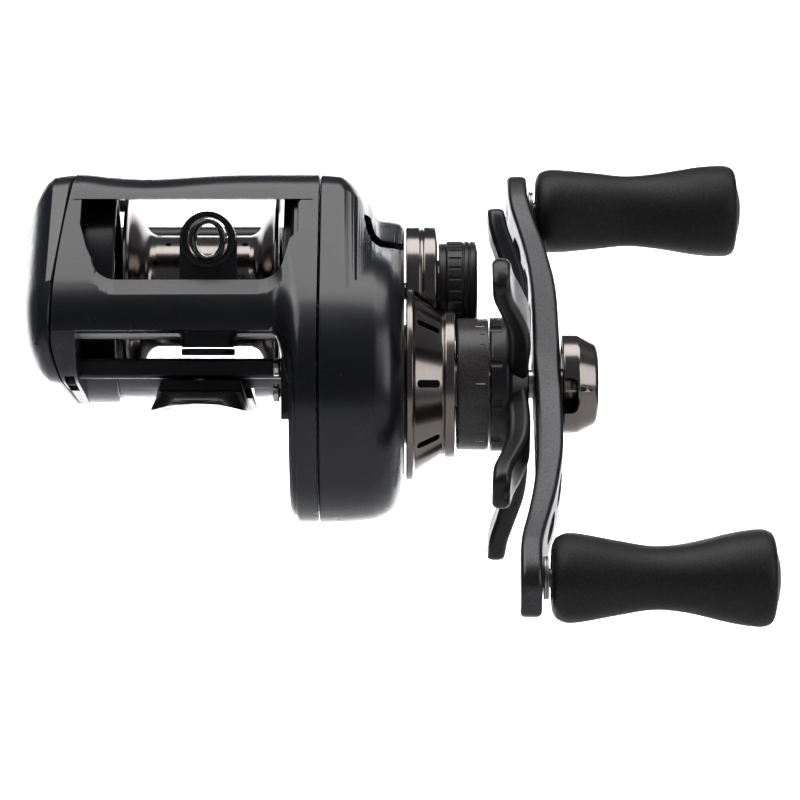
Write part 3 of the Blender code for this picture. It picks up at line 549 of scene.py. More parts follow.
def fit(obj, material, slot, body, *nodes):
    """Gives a piece its finish and the body it moves with, and hides the solids it stands for."""
    obj.data.materials.clear()
    obj.data.materials.append(material)
    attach(obj, body)
    if nodes:
        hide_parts(*nodes)
    print("made", obj.name, "for", nodes or "detail")
    return obj


# %% [markdown]
# ## Frame
#
# One casting carries everything: two side walls, a front skin that is fascia below the window and bar above
# it, lower bars and the trough under the spool. The side outlines are the convex hull of a few circles, so
# the skin can change from the palm side's outline to the deeper gear side's as it runs along X.

# %% The parting line and the front skin
FASCIA_BOTTOM = math.radians(194)
TOP_BAR_BACK = math.radians(92)
SKIN_THICKNESS = 3.4
TOP_BAR_REAR_Y = -5.5
WALL_INSET = 0.12
SKIN_BLEND_START = 12.0
SKIN_BLEND_LENGTH = 4.4
SKIN_BLEND_MOST = 0.96
PARTING_X = -23.6
NOSE_Z = 9.7


def parting_x(z):
    """Where the palm plate meets the frame: a line that leans inwards above and below the nose."""
    if z > NOSE_Z:
        return PARTING_X + 2.5 * ((z - NOSE_Z) / 28) ** 2
    return PARTING_X + 2.4 * ((NOSE_Z - z) / 10) ** 1.3


def parting_ring(circles, inset, shift):
    return [(parting_x(z) + shift, y, z) for y, z in hull(circles, inset)]


def bar_dip(x):
    """How far the top bar sinks at this x, most of it left of the middle."""
    fade = min(max((x + 19.6) / 4, 0), 1)
    return 0.75 * math.exp(-(((x + 9) / 9) ** 2)) * fade * fade * (3 - 2 * fade)


def skin_section(x, share):
    count = 90
    angles = [FASCIA_BOTTOM + (TOP_BAR_BACK - FASCIA_BOTTOM) * i / (count - 1) for i in range(count)]
    sides = []
    for inset in (0.0, SKIN_THICKNESS):
        side = []
        for angle in angles:
            palm, gear = hull_point(PALM_SIDE, angle, inset), hull_point(GEAR_SIDE, angle, inset)
            y, z = (a + (b - a) * share for a, b in zip(palm, gear))
            height = min(max((z - 33.5) / 3.5, 0), 1)
            side.append((y, z - bar_dip(x) * height))
        side.append((TOP_BAR_REAR_Y, side[-1][1]))
        sides.append(even_spread(side, 48))
    sides[0] = [between(sides[0][0], sides[1][0], 0.36), *sides[0][1:]]
    section = sides[0] + sides[1][::-1]
    if x < -19.4:
        return [(max(x, parting_x(z) + GAP), y, z) for y, z in section]
    return at_x(x, section)


def even_spread(points, count):
    """An open line with its points spread evenly along it."""
    lengths = [math.dist(a, b) for a, b in zip(points, points[1:])]
    result, travelled, index = [], 0.0, 0
    for i in range(count):
        goal = min(sum(lengths) * i / (count - 1), sum(lengths) - 1e-6)
        while index < len(lengths) - 1 and travelled + lengths[index] < goal:
            travelled += lengths[index]
            index += 1
        share = (goal - travelled) / max(lengths[index], 1e-9)
        a, b = points[index], points[index + 1]
        result.append((a[0] + (b[0] - a[0]) * share, a[1] + (b[1] - a[1]) * share))
    return result


def between(start, end, share):
    return tuple(a + (b - a) * share for a, b in zip(start, end))


def blend_share(x):
    """0 on the palm outline and almost 1 on the gear outline, with an easy curve between."""
    t = min(max((x - SKIN_BLEND_START) / SKIN_BLEND_LENGTH, 0), 1)
    return SKIN_BLEND_MOST * t * t * (3 - 2 * t)


# %% The window
WINDOW_BOTTOM = 19.9
WINDOW_TOP = 33.4
WINDOW_CORNER = 4.2
BEVEL = 1.15
BEVEL_DEPTH = 1.4


def window_outline(grow=0.0):
    """The window seen from the front, or the same shape grown on its sides and lower edge."""
    radius, centre_z = WINDOW_CORNER + grow, WINDOW_BOTTOM + WINDOW_CORNER
    left_corner = [polar(radius, math.radians(188 + 5.125 * i), (-13.2, centre_z)) for i in range(17)]
    right_corner = [polar(radius, math.radians(270 + 5 * i), (9.6, centre_z)) for i in range(17)]
    left = [(-20.4, WINDOW_TOP), (-19.4, WINDOW_TOP - 4.5), (-18.2, WINDOW_TOP - 8.2)]
    right = [(14.6, centre_z + 2.6), (17.0, WINDOW_TOP - 4.5), (18.2, WINDOW_TOP)]
    left, right = [(x - grow, z) for x, z in left], [(x + grow, z) for x, z in right]
    return left + left_corner + right_corner + right


def surface_y(x, z):
    """Where the skin's outer face lies at this x and height, above the fascia's middle."""
    outer = skin_section(x, blend_share(x))[:46]
    for (_, y_low, z_low), (_, y_high, z_high) in zip(outer, outer[1:]):
        if z_low <= z <= z_high:
            return y_low + (y_high - y_low) * (z - z_low) / (z_high - z_low)
    return outer[-1][1]


def window_bevel():
    """A cutter that widens towards the front, so the lower edge slopes up and back from the skin's face."""
    face = surface_y(0, WINDOW_BOTTOM)
    rings = []
    for depth in (BEVEL_DEPTH, -2.0):
        outline = window_outline(BEVEL * (BEVEL_DEPTH - depth) / BEVEL_DEPTH)
        rings.append([(x, face + depth, z) for x, z in outline])
    return loft("window_bevel", rings)


# %% The casting
PIN_SIDE = math.atan2(SPOOL_AXIS[1] - DRIVE_AXIS[1], SPOOL_AXIS[0] - DRIVE_AXIS[0]) - math.pi / 2
YOKE_PINS = [polar(7.5, PIN_SIDE + turn, SPOOL_AXIS) for turn in (math.pi, 0)]


def make_frame_casting():
    body = loft("frame_casting", [
        parting_ring(PALM_SIDE, WALL_INSET, GAP),
        at_x(LEFT_WALL_INNER, hull(PALM_SIDE, WALL_INSET)),
    ])
    cut(body, rod("bore", SPOOL_AXIS, -30, -15, BORE_RADIUS + 0.3, 128))
    right_wall = loft("right_wall", [
        at_x(RIGHT_STEP, hull(GEAR_SIDE, 1.6)),
        at_x(RIGHT_STEP + 0.5, hull(GEAR_SIDE, 1.2)),
        at_x(RIGHT_WALL[0] - 0.1, hull(GEAR_SIDE, 1.2)),
        at_x(RIGHT_WALL[0], hull(GEAR_SIDE, 0.4)),
        at_x(RIGHT_WALL[0] + 0.5, hull(GEAR_SIDE, WALL_INSET)),
        at_x(RIGHT_WALL[1], hull(GEAR_SIDE, WALL_INSET)),
    ])
    lips = []
    for name, low, high, inner in (
            ("left_lip", LEFT_WALL_INNER - 1, LIP_LEFT, BORE_RADIUS),
            ("right_lip", LIP_RIGHT, RIGHT_STEP + 0.6, 17.4)):
        lip = turned(name, SPOOL_AXIS, [(high, inner), (high, 18.9), (low, 18.9), (low, inner)], 0.4, 128)
        cut(lip, block(name + "_thumb_room", (-30, 13.7, 17.5), (30, 30, 42)))
        lips.append(lip)
    xs = [PARTING_X, -22, -20.4, *[-19.0 + 1.5 * i for i in range(21)],
          *[12 + 0.4 * i for i in range(13)], 18.2, 19.1]
    skin = loft("front_skin", [skin_section(x, blend_share(x)) for x in xs])
    cut(skin, drawn("window", window_outline(), -40, -7, along_y(0, 0)))
    cut(skin, window_bevel())
    join(body, right_wall, *lips, skin)
    return body


def make_lower_bars():
    """The bars that the foot is screwed to, and the thin trough that keeps line off the foot."""
    arc = [math.radians(222 + 96 * i / 48) for i in range(49)]
    trough = [polar(18.0, a) for a in arc] + [polar(17.1, a) for a in reversed(arc)]
    bars = []
    for name, low, high in (("front_bar", -18.0, -9.3), ("rear_bar", 15.3, 24.0)):
        outline = rounded([(low, 4.1), (high, 4.1), (high, 7.4), (low, 7.4)], 0.7)
        bar = drawn(name, outline, -20.1, 15.2, along_x((0, 0)))
        cut(bar, rod(name + "_room", SPOOL_AXIS, -25, 20, BORE_RADIUS + 0.2, 128))
        bars.append(bar)
    trough_piece = drawn("trough", trough, LIP_LEFT - 0.6, LIP_RIGHT + 0.7, along_x(SPOOL_AXIS))
    boss_outline = rounded([(-22.0, -2.6), (-15.0, -2.6), (-15.0, 7.6), (-22.0, 7.6)], 1.4)
    boss = drawn("corner_boss", boss_outline, 13.2, 15.4, along_x((0, 0)))
    return [*bars, trough_piece, boss]


body = make_frame_casting()
join(body, *make_lower_bars())
cut(body, merged([
    block("foot_window", (-8.15, -12.5, -3), (8.15, 19, 2.6)),
    block("thumb_slot", (13, 20.8, 17.8), (22, 23.8, 26.4)),
    rod("pinion_bore", SPOOL_AXIS, 12, 22, 4.0, 48),
    rod("worm_bore", WORM_AXIS, 12, 22, 1.8, 32),
    rod("bush_pocket", WORM_AXIS, -21.8, -15, 2.6, 32),
    rod("drive_bore", DRIVE_AXIS, 15.9, 22, 4.7, 48),
    rod("rod_pocket", ROD_AXIS, -21.2, 16.9, 1.3, 24),
    *[rod(f"cover_screw_hole_{label}", at, 12, 18.0, 1.0, 24) for label, at in COVER_SCREWS.items()],
    *[rod(f"yoke_pin_hole_{i}", at, 17.2, 22, 1.1, 24) for i, at in enumerate(YOKE_PINS)],
    block("lock_slot", (-21.6, -23, -2), (-20.0, -12.6, 5.2))]))
soften(body, 0.45, 3)
fit(body, LACQUER, "gloss_black", "body", "frame")

# %% [markdown]
# ## Palm plate, brake dial and lock
#
# The left side is a shell that the palm wraps round. Its rim is the frame's own outline, and it closes in
# steadily towards the brake dial. A sheet pressed in a die would look the same, and a loft through the
# shrinking outlines gives that form. The plug behind it seats in the frame's bore.

# %% Palm plate
DIAL_RADIUS = 9.4
# (x, how far the outline has drawn in, share of the way to the dial's circle)
PALM_STATIONS = (
    (-24.3, 0.45, 0.0), (-25.6, 1.5, 0.0), (-26.9, 3.2, 0.04), (-27.9, 5.2, 0.12), (-28.7, 7.4, 0.3),
    (-29.25, 9.2, 0.6), (-29.45, 9.4, 0.86), (-29.5, 9.4, 1.0))


def palm_ring(x, inset, share):
    outline = hull(PALM_SIDE, inset)
    dial = hull(((*SPOOL_AXIS, DIAL_RADIUS),))
    return [(x, a + (c - a) * share, b + (d - b) * share) for (a, b), (c, d) in zip(outline, dial)]


def make_palm_plate():
    rings = [parting_ring(PALM_SIDE, 0.25, 0), parting_ring(PALM_SIDE, 0.05, -0.25)]
    rings += [palm_ring(*station) for station in curve_through(PALM_STATIONS, 5)]
    palm = loft("palm_shell", rings, 30)
    hollow = loft("palm_hollow", [
        at_x(-17, hull(PALM_SIDE, 1.8)),
        at_x(-24.0, hull(PALM_SIDE, 2.2)),
        at_x(-25.4, hull(PALM_SIDE, 4.5)),
    ])
    cut(palm, hollow)
    plug = turned("palm_plug", SPOOL_AXIS, [(-15.4, 16.1), (-15.4, 17.1), (-26.2, 17.1), (-26.2, 16.1)], 0.3)
    hub = rod("palm_hub", SPOOL_AXIS, -26.2, -17.6, 5.2)
    join(palm, plug, hub)
    cut(palm,
        turned("bearing_seat", SPOOL_AXIS,
               [(-12, 0), (-12, 4.3), (-20.6, 4.3), (-20.6, 1.9), (-22.6, 1.9), (-22.6, 0)], 0.01, 64),
        rod("dial_recess", SPOOL_AXIS, -35, -27.2, DIAL_RADIUS, 128))
    soften(palm, 0.25, 3, 40)
    fit(palm, LACQUER, "gloss_black", "palm", "palm_plate")


make_palm_plate()


# %% Brake dial
DIAL_SCALLOPS = 24


def make_brake_dial():
    """A shallow knob with finger scallops round its edge, a raised bar across it, and one index mark."""
    profile = [(-27.5, 0), (-27.5, 9.0), (-29.0, 9.0), (-29.4, 8.2), (-29.0, 7.0), (-29.0, 0)]
    dial = turned("brake_dial_knob", SPOOL_AXIS, profile, 0.25)
    scallops = []
    for i in range(DIAL_SCALLOPS):
        at = polar(9.35, 2 * math.pi * i / DIAL_SCALLOPS, SPOOL_AXIS)
        scallops.append(rod(f"scallop_{i}", at, -31, -28.0, 0.55, 20))
    cut(dial, merged(scallops))
    bar = drawn("dial_bar", rounded([(-1.3, -6.2), (1.3, -6.2), (1.3, 6.2), (-1.3, 6.2)], 1.0), -29.6, -28.6,
                along_x(SPOOL_AXIS))
    join(dial, bar)
    soften(dial, 0.12, 2, 40)
    fit(dial, SATIN, "satin_black", "dial", "brake_dial")
    mark = drawn("dial_index_mark", circle(0.45, 24, (0, 7.6)), -29.38, -29.0, along_x(SPOOL_AXIS))
    fit(mark, PALE_PAINT, "satin_black", "dial")


make_brake_dial()


# %% Lock
def make_lock():
    outline = rounded([(-20.5, 3.0), (-16.5, 3.0), (-16.5, 4.8), (-20.5, 4.8)], 0.5)
    lock = drawn("plate_lock_slide", outline, -21.3, -20.3, along_x((0, 0)))
    ribs = [block(f"lock_rib_{i}", (-21.6, -20.0 + 0.9 * i, 2.5), (-21.05, -19.6 + 0.9 * i, 5.2))
            for i in range(4)]
    cut(lock, merged(ribs))
    soften(lock, 0.1, 2)
    fit(lock, SATIN, "satin_black", "lock", "plate_lock")


make_lock()

# %% [markdown]
# ## Gear cover
#
# The right side is deeper, because it hides the large drive gear. From a rim that matches the frame it draws
# in twice: quickly to the boss of the spool's axis, slowly to the nozzle of the handle's axis. The outline is
# still one convex hull at each station, and a smooth curve through the stations gives the long highlights.

# %% Gear cover
COVER_WALL = 1.6
# (x, spool radius, share of the small circles' way to the spool, their inset, gear radius)
COVER_STATIONS = (
    (19.4, 19.15, 0.0, 0.05, 22.75), (21.4, 19.0, 0.0, 0.2, 22.7), (23.3, 18.6, 0.0, 0.6, 22.65),
    (25.5, 17.4, 0.1, 1.6, 22.5), (27.4, 15.0, 0.35, 3.2, 22.3), (28.8, 12.2, 0.9, 6.6, 22.0),
    (31.0, 11.7, 1.0, 7.0, 20.9), (32.4, 11.4, 1.0, 7.0, 19.0), (33.1, 10.8, 1.0, 7.0, 16.9))


def cover_outline(station, inset):
    _, spool_radius, share, trim, gear_radius = station
    circles = [(*SPOOL_AXIS, spool_radius), (*DRIVE_AXIS, gear_radius)]
    for y, z, radius in (NOSE_CIRCLE, SHOULDER_CIRCLE, REAR_CIRCLE):
        centre = Vector((y, z)).lerp(Vector(SPOOL_AXIS), share)
        circles.append((*centre, radius - trim))
    return hull(circles, inset)


def make_gear_cover():
    stations = curve_through(COVER_STATIONS, 6)
    rings = [at_x(19.4, cover_outline(COVER_STATIONS[0], 0.3))]
    rings += [at_x(max(station[0], 19.6), cover_outline(station, 0)) for station in stations]
    cover = loft("cover_shell", rings, 40)
    hollow = [at_x(18, cover_outline(COVER_STATIONS[0], COVER_WALL))]
    hollow += [at_x(station[0], cover_outline(station, COVER_WALL)) for station in COVER_STATIONS[2:7]]
    hollow.append(at_x(31.6, cover_outline(COVER_STATIONS[7], COVER_WALL)))
    cut(cover, loft("cover_hollow", hollow))
    join(cover, rod("nozzle", DRIVE_AXIS, 32.2, 40.4, 9.8, 96))
    groove = [(26.4, 31.2), (27.5, 31.0), (28.2, 28.2), (29.4, 26.9), (32.8, 26.4), (34.5, 26.3),
              (34.5, 25.2), (29.2, 25.5), (27.6, 26.7), (26.9, 28.6)]
    cut(cover,
        rod("nozzle_bore", DRIVE_AXIS, 33.7, 45, 8.2, 96),
        rod("sleeve_hole", DRIVE_AXIS, 25, 45, 4.6, 64),
        rod("shaft_hole", SPOOL_AXIS, 25, 40, 5.3, 64),
        drawn("shoulder_groove", rounded(groove, 0.5), -16, -5.6, along_y(0, 0)))
    soften(cover, 0.3, 3, 38)
    fit(cover, LACQUER, "gloss_black", "body", "gear_cover")


make_gear_cover()

# %% [markdown]
# ## Bezel, tension boss and tension knob
#
# The bezel is a turned cone of smoked metal over the cover's nozzle, with narrow slots milled along it. The
# boss beside it carries the right spool bearing and the spigot of the tension knob. Where the cone and the
# boss would meet, the boss is cut back, as it is on the real casting.

# %% Bezel
BEZEL_SLOTS = 8
SLOT_SIDE = ((35.2, 0.3), (35.5, 0.62), (38.5, 0.62), (38.8, 0.3))


def make_bezel():
    profile = [
        (41.3, 10.2), (41.3, 12.1), (39.7, 12.1), (39.4, 11.6), (34.7, 14.6), (34.5, 15.8),
        (33.4, 15.8), (33.4, 14.0), (34.4, 13.4), (39.2, 10.4), (39.8, 10.2)]
    bezel = turned("bezel_cone", DRIVE_AXIS, profile, 0.25, 144)
    slots = []
    for i in range(BEZEL_SLOTS):
        angle = 2 * math.pi * i / BEZEL_SLOTS + math.pi
        rings = []
        for reach in (9.5, 18.0):
            y, z = polar(reach, angle, DRIVE_AXIS)
            sides = [(x, half) for x, half in SLOT_SIDE] + [(x, -half) for x, half in reversed(SLOT_SIDE)]
            rings.append([(x, y - half * math.sin(angle), z + half * math.cos(angle)) for x, half in sides])
        slots.append(loft(f"bezel_slot_{i}", rings))
    cut(bezel, merged(slots))
    soften(bezel, 0.12, 3, 40)
    fit(bezel, GUNMETAL, "gunmetal", "body", "shaft_bezel")


make_bezel()


# %% Tension boss
def make_tension_boss():
    profile = [
        (43.0, 1.9), (43.0, 5.2), (38.6, 5.2), (38.6, 10.2), (38.3, 10.9), (36.4, 10.9), (36.25, 10.6),
        (35.8, 10.6), (35.65, 10.9), (33.4, 10.9), (33.4, 3.9), (36.5, 3.9), (36.5, 1.9)]
    boss = turned("tension_boss_turned", SPOOL_AXIS, profile, 0.2)
    envelope = turned("bezel_envelope", DRIVE_AXIS,
                      [(42, 0), (42, 12.5), (39.4, 12.5), (34.8, 16.1), (30, 16.1), (30, 0)], 0.01)
    cut(boss, envelope)
    soften(boss, 0.15, 3, 40)
    fit(boss, GUNMETAL, "gunmetal", "body", "tension_boss")


make_tension_boss()


# %% Tension knob
KNOB_FLUTES = 28


def make_tension_knob():
    """A cup over the spigot: a plain band, two fine ridges and a knurled grip."""
    profile = [
        (45.3, 0), (45.3, 7.4), (45.0, 8.3), (44.2, 8.4), (44.1, 8.2), (43.9, 8.2), (43.8, 8.4), (43.2, 8.4),
        (43.1, 8.2), (42.9, 8.2), (42.8, 8.4), (40.3, 8.4), (40.1, 8.1), (40.0, 8.0), (38.9, 8.0),
        (38.9, 5.5), (43.4, 5.5), (43.4, 0)]
    knob = turned("tension_knob_cup", SPOOL_AXIS, profile, 0.12, 144)
    flutes = []
    for i in range(KNOB_FLUTES):
        at = polar(8.62, 2 * math.pi * i / KNOB_FLUTES, SPOOL_AXIS)
        flutes.append(rod(f"flute_{i}", at, 40.5, 42.6, 0.42, 16))
    cut(knob, merged(flutes))
    face = turned("knob_face_dish", SPOOL_AXIS, [(46, 0), (46, 6.4), (45.1, 6.0), (45.0, 0)], 0.1)
    cut(knob, face)
    soften(knob, 0.08, 2, 40)
    fit(knob, SATIN, "satin_black", "tension", "tension_knob")


make_tension_knob()

# %% [markdown]
# ## Spool
#
# The spool is turned from one bar: two thin flanges, a cone that runs down from each to the arbor, and a
# hollow arbor drilled with small holes to save weight. It turns on its own shaft inside the frame's lips.

# %% Spool
CONE_LEFT = ((-12.5, 16.2), (-12.35, 14.4), (-10.7, 12.0), (-9.5, 10.0), (-8.2, 9.3))
CONE_RIGHT = tuple((-0.8 - x, radius) for x, radius in CONE_LEFT)


def make_spool():
    profile = [(11.0, 1.85), (11.0, 3.2), (9.6, 3.2), (9.6, 8.4), (12.4, 9.4), (12.4, 16.3),
               (12.15, 16.5), (11.85, 16.5)]
    profile += curve_through(CONE_RIGHT, 5)
    profile += curve_through(CONE_LEFT, 5)[::-1]
    profile += [(-12.65, 16.5), (-12.95, 16.5), (-13.2, 16.3), (-13.2, 8.8), (8.6, 8.4), (8.6, 3.2),
                (3.0, 3.2), (3.0, 1.85)]
    spool = turned("spool_turned", SPOOL_AXIS, profile, 0.1, 160)
    drills = []
    for x, lead in ((-8.0, 0.0), (-6.2, 0.5), (6.6, 0.5)):
        for i in range(7):
            angle = math.radians(151 + 360 * (i + lead) / 7)
            ends = [polar(radius, angle, SPOOL_AXIS) for radius in (7.6, 11.0)]
            rings = []
            for y, z in ends:
                side = Vector((0, -math.sin(angle), math.cos(angle)))
                middle = Vector((x, y, z))
                rings.append([middle + Vector((1, 0, 0)) * a + side * b for a, b in circle(0.5, 20)])
            drills.append(loft(f"arbor_hole_{x}_{i}", rings))
    cut(spool, merged(drills))
    fit(spool, GUNMETAL, "gunmetal", "spool_group", "spool")


make_spool()

# %% [markdown]
# ## Line guide, worm and foot
#
# The guide rides to and fro on the worm. Its eye holds a hard ring, so that line doesn't saw into it. The
# worm has one groove that runs out and back, so its surface is a radius that dips where either path passes.

# %% Line guide
GUIDE_X = 1.4
GUIDE_HALF = 4.6
EYE_Z = 26.5
PAWL_AT = (GUIDE_X, -20.4)


def oval_ring(name, x, z, sections, sides=72):
    """A ring about an axis along Y. A section is (y, half width, half height), in a closed loop."""
    rings = [[(x + u, y, z + v) for u, v in oval(half_u, half_v, sides)]
             for y, half_u, half_v in sections]
    return loft(name, rings, 40, wrap=True)


def make_line_guide():
    low, high = GUIDE_X - GUIDE_HALF, GUIDE_X + GUIDE_HALF
    eye = drawn("guide_eye", circle(4.5, 96, (GUIDE_X, EYE_Z)), -22.8, -18.2, along_y(0, 0))
    stem = block("guide_stem", (low, -20.9, 15), (high, -18.3, EYE_Z))
    dish = oval_ring("eye_dish", GUIDE_X, EYE_Z,
                     [(-24, 4.1, 4.2), (-22.3, 3.9, 4.0), (-22.3, 3.2, 3.5), (-24, 3.2, 3.5)])
    cut(eye, dish)
    join(eye, stem)
    sleeve = rod("line_guide_body", WORM_AXIS, low, high, 3.9, 96)
    rod_block = rod("rod_block", ROD_AXIS, low, high, 2.1, 48)
    pawl_outline = rounded(
        [(low + 0.4, -23.6), (high - 0.4, -23.6), (high - 0.4, -17.2), (low + 0.4, -17.2)], 1.6)
    pawl_block = drawn("pawl_block", pawl_outline, 9.1, 13.0, along_z(0, 0))
    join(sleeve, eye, rod_block, pawl_block)
    insert_room = drawn("insert_room", oval(3.3, 3.6, 72, (GUIDE_X, EYE_Z)), -30, -10, along_y(0, 0))
    cut(sleeve,
        rod("worm_room", WORM_AXIS, -10, 14, 2.7, 64),
        rod("guide_rod_room", ROD_AXIS, -10, 14, 1.3, 40),
        insert_room,
        drawn("pawl_room", circle(1.7, 40, PAWL_AT), 5, 14, along_z(0, 0)))
    soften(sleeve, 0.4, 4, 40)
    fit(sleeve, SATIN, "satin_black", "guide", "line_guide")


def make_guide_insert():
    sections = [
        (-22.9, 3.0, 3.3), (-23.15, 2.75, 3.1), (-23.2, 2.5, 2.95), (-23.05, 2.2, 2.75), (-22.6, 1.97, 2.66),
        (-21.5, 1.87, 2.61), (-20.5, 1.85, 2.6), (-19.5, 1.87, 2.61), (-18.4, 1.97, 2.66),
        (-17.95, 2.2, 2.75), (-17.8, 2.5, 2.95), (-17.85, 2.75, 3.1), (-18.1, 3.0, 3.3)]
    ring = oval_ring("guide_insert_ring", GUIDE_X, EYE_Z, sections)
    fit(ring, CERAMIC, "guide_ceramic", "guide", "guide_insert")


def make_pawl_cap():
    outline = oval(4.35, 3.15, 72, PAWL_AT)
    cap = drawn("pawl_cap_screw", outline, 7.8, 8.9, along_z(0, 0))
    slot = block("cap_coin_slot", (GUIDE_X - 2.2, -20.8, 7.2), (GUIDE_X + 2.2, -20.0, 8.25))
    cut(cap, slot)
    soften(cap, 0.3, 3, 40)
    fit(cap, SATIN, "satin_black", "guide", "pawl_cap")


make_line_guide()
make_guide_insert()
make_pawl_cap()


# %% Worm shaft
def make_worm():
    pitch, low, high = 9.2, -13.0, 12.6
    rings = [at_x(-21.4, circle(1.1, 64, WORM_AXIS)), at_x(-19.3, circle(1.1, 64, WORM_AXIS)),
             at_x(-19.2, circle(1.15, 64, WORM_AXIS)), at_x(-19.15, circle(2.4, 64, WORM_AXIS))]
    count = 190
    for i in range(count):
        x = -19.0 + 33.2 * i / (count - 1)
        ring = []
        for k in range(64):
            angle = 2 * math.pi * k / 64
            depth = 0.0
            if low < x < high:
                turn = 2 * math.pi * (x - low) / pitch
                for path in (turn, -turn):
                    off = abs((angle - path + math.pi) % (2 * math.pi) - math.pi) * pitch / (2 * math.pi)
                    depth = max(depth, 0.75 * min(max(1.35 - off / 0.62, 0), 1))
            ring.append((x, *polar(2.4 - depth, angle, WORM_AXIS)))
        rings.append(ring)
    rings += [at_x(14.4, circle(2.35, 64, WORM_AXIS)), at_x(14.4, circle(1.4, 64, WORM_AXIS)),
              at_x(22.3, circle(1.35, 64, WORM_AXIS))]
    worm = loft("worm_turned", rings, 30)
    fit(worm, STEEL, "steel", "worm", "worm_shaft")


make_worm()

# %% Foot
SADDLE = 0.0216
SADDLE_FLAT = 1.5
FOOT_STATIONS = (
    (-31.0, 0.6, 3.6, 3.0), (-30.6, 1.0, 4.7, 3.9), (-29.6, 1.5, 6.0, 4.8), (-28.2, 1.75, 6.9, 5.6),
    (-26.5, 1.9, 7.4, 6.2), (-22.5, 1.95, 7.7, 6.5), (-18.5, 1.95, 7.75, 6.6), (-18.2, 2.4, 7.75, 6.55),
    (-17.9, 3.8, 7.75, 6.4), (-12.9, 3.8, 7.75, 6.4), (-12.6, 0.9, 7.75, 7.0), (16.8, 0.9, 7.75, 7.0),
    (17.9, 1.9, 7.75, 6.6), (18.2, 3.8, 7.75, 6.4), (22.8, 3.8, 7.75, 6.4), (23.1, 1.9, 7.75, 6.6),
    (26.5, 1.9, 7.4, 6.2), (28.2, 1.75, 6.9, 5.6), (29.6, 1.5, 6.0, 4.8), (30.6, 1.0, 4.7, 3.9),
    (31.0, 0.6, 3.6, 3.0))


def foot_section(y, top, half_bottom, half_top):
    """Hollow below, to sit on the rod's seat, and flat above."""
    count = 28
    xs = [-half_bottom + 2 * half_bottom * i / count for i in range(count + 1)]
    below = [(x, y, -SADDLE * max(x * x - SADDLE_FLAT**2, 0)) for x in xs]
    edge = below[-1][2] + 0.5
    above = [(half_bottom, y, edge), (half_top, y, top - 0.05), (half_top - 0.5, y, top)]
    above += [(-half_top + 0.5, y, top), (-half_top, y, top - 0.05), (-half_bottom, y, edge)]
    return below + above


def make_foot():
    foot = loft("reel_foot_casting", [foot_section(*station) for station in FOOT_STATIONS], 30)
    holes = []
    for y in FOOT_SCREWS.values():
        holes.append(drawn(f"head_room_{y}", circle(2.4, 48, (0, y)), -3, 1.9, along_z(0, 0)))
        holes.append(drawn(f"shank_room_{y}", circle(1.4, 32, (0, y)), 1, 5, along_z(0, 0)))
    cut(foot, *holes)
    soften(foot, 0.3, 3, 30)
    fit(foot, SATIN, "dark_alloy", "body", "reel_foot")


def make_foot_screw(label, y):
    shank = drawn(f"foot_screw_body_{label}", circle(1.1, 32, (0, y)), 1.5, 6.6, along_z(0, 0))
    head = drawn(f"foot_screw_head_{label}", circle(2.0, 48, (0, y)), 0.4, 1.6, along_z(0, 0))
    join(shank, head)
    cross = [block(f"cross_a_{label}", (-1.2, y - 0.25, 0), (1.2, y + 0.25, 1.0)),
             block(f"cross_b_{label}", (-0.25, y - 1.2, 0), (0.25, y + 1.2, 1.0))]
    cut(shank, *cross)
    soften(shank, 0.15, 2, 40)
    fit(shank, STEEL, "steel", "body", f"foot_screw_{label}")


def make_cover_screw(label, line):
    profile = [(17.6, 0), (17.6, 0.7), (12.9, 0.7), (12.9, 1.5), (11.9, 1.5), (11.9, 0)]
    screw = turned(f"cover_screw_body_{label}", line, profile, 0.2, 48)
    y, z = line
    cut(screw,
        block(f"slot_a_{label}", (11.0, y - 0.9, z - 0.2), (12.4, y + 0.9, z + 0.2)),
        block(f"slot_b_{label}", (11.0, y - 0.2, z - 0.9), (12.4, y + 0.2, z + 0.9)))
    fit(screw, BRIGHT, "steel", "body", f"cover_screw_{label}")


make_foot()
for label, y in FOOT_SCREWS.items():
    make_foot_screw(label, y)
for label, line in COVER_SCREWS.items():
    make_cover_screw(label, line)


# %% Thumb bar
def make_thumb_bar():
    section = [(20.2, 26.4), (21.0, 25.9), (24.4, 26.2), (25.4, 27.6), (25.2, 29.6), (24.2, 30.6),
               (22.0, 30.7), (20.5, 29.6)]
    bar = drawn("thumb_bar_moulding", rounded(section, 0.7), -18.9, 14.2, along_x((0, 0)))
    grooves = []
    for i in range(6):
        outline = circle(0.22, 12, (21.6 + 0.55 * i, 30.85))
        grooves.append(drawn(f"grip_groove_{i}", outline, -13, 8.5, along_x((0, 0))))
    cut(bar, merged(grooves))
    join(bar, block("thumb_lug", (14.0, 21.2, 22.6), (19.1, 23.4, 26.0)),
         block("thumb_lug_root", (12.6, 20.9, 22.6), (14.25, 24.2, 27.0)))
    soften(bar, 0.25, 3, 40)
    fit(bar, SATIN, "satin_black", "thumb", "thumb_bar")


make_thumb_bar()

# %% [markdown]
# ## Star drag
#
# The star is a wheel with five swept fins that a thumb can push without letting go of the handle. A fin is a
# loft through rounded rectangles that lean towards the reel as they go out. The sleeve below it screws down
# with it and carries plain index ticks, so that a setting can be found again.


# %% Rounded arms
def rounded_section(x_low, x_high, half, corner, count=6):
    """A rounded rectangle across an arm, as (x, offset across the arm)."""
    reach = min(corner, (x_high - x_low) * 0.48, half * 0.9)
    corners = ((x_high - reach, half - reach, 0), (x_low + reach, half - reach, 90),
               (x_low + reach, reach - half, 180), (x_high - reach, reach - half, 270))
    points = []
    for x, across, start in corners:
        for i in range(count + 1):
            angle = math.radians(start + 90 * i / count)
            points.append((x + reach * math.cos(angle), across + reach * math.sin(angle)))
    return points


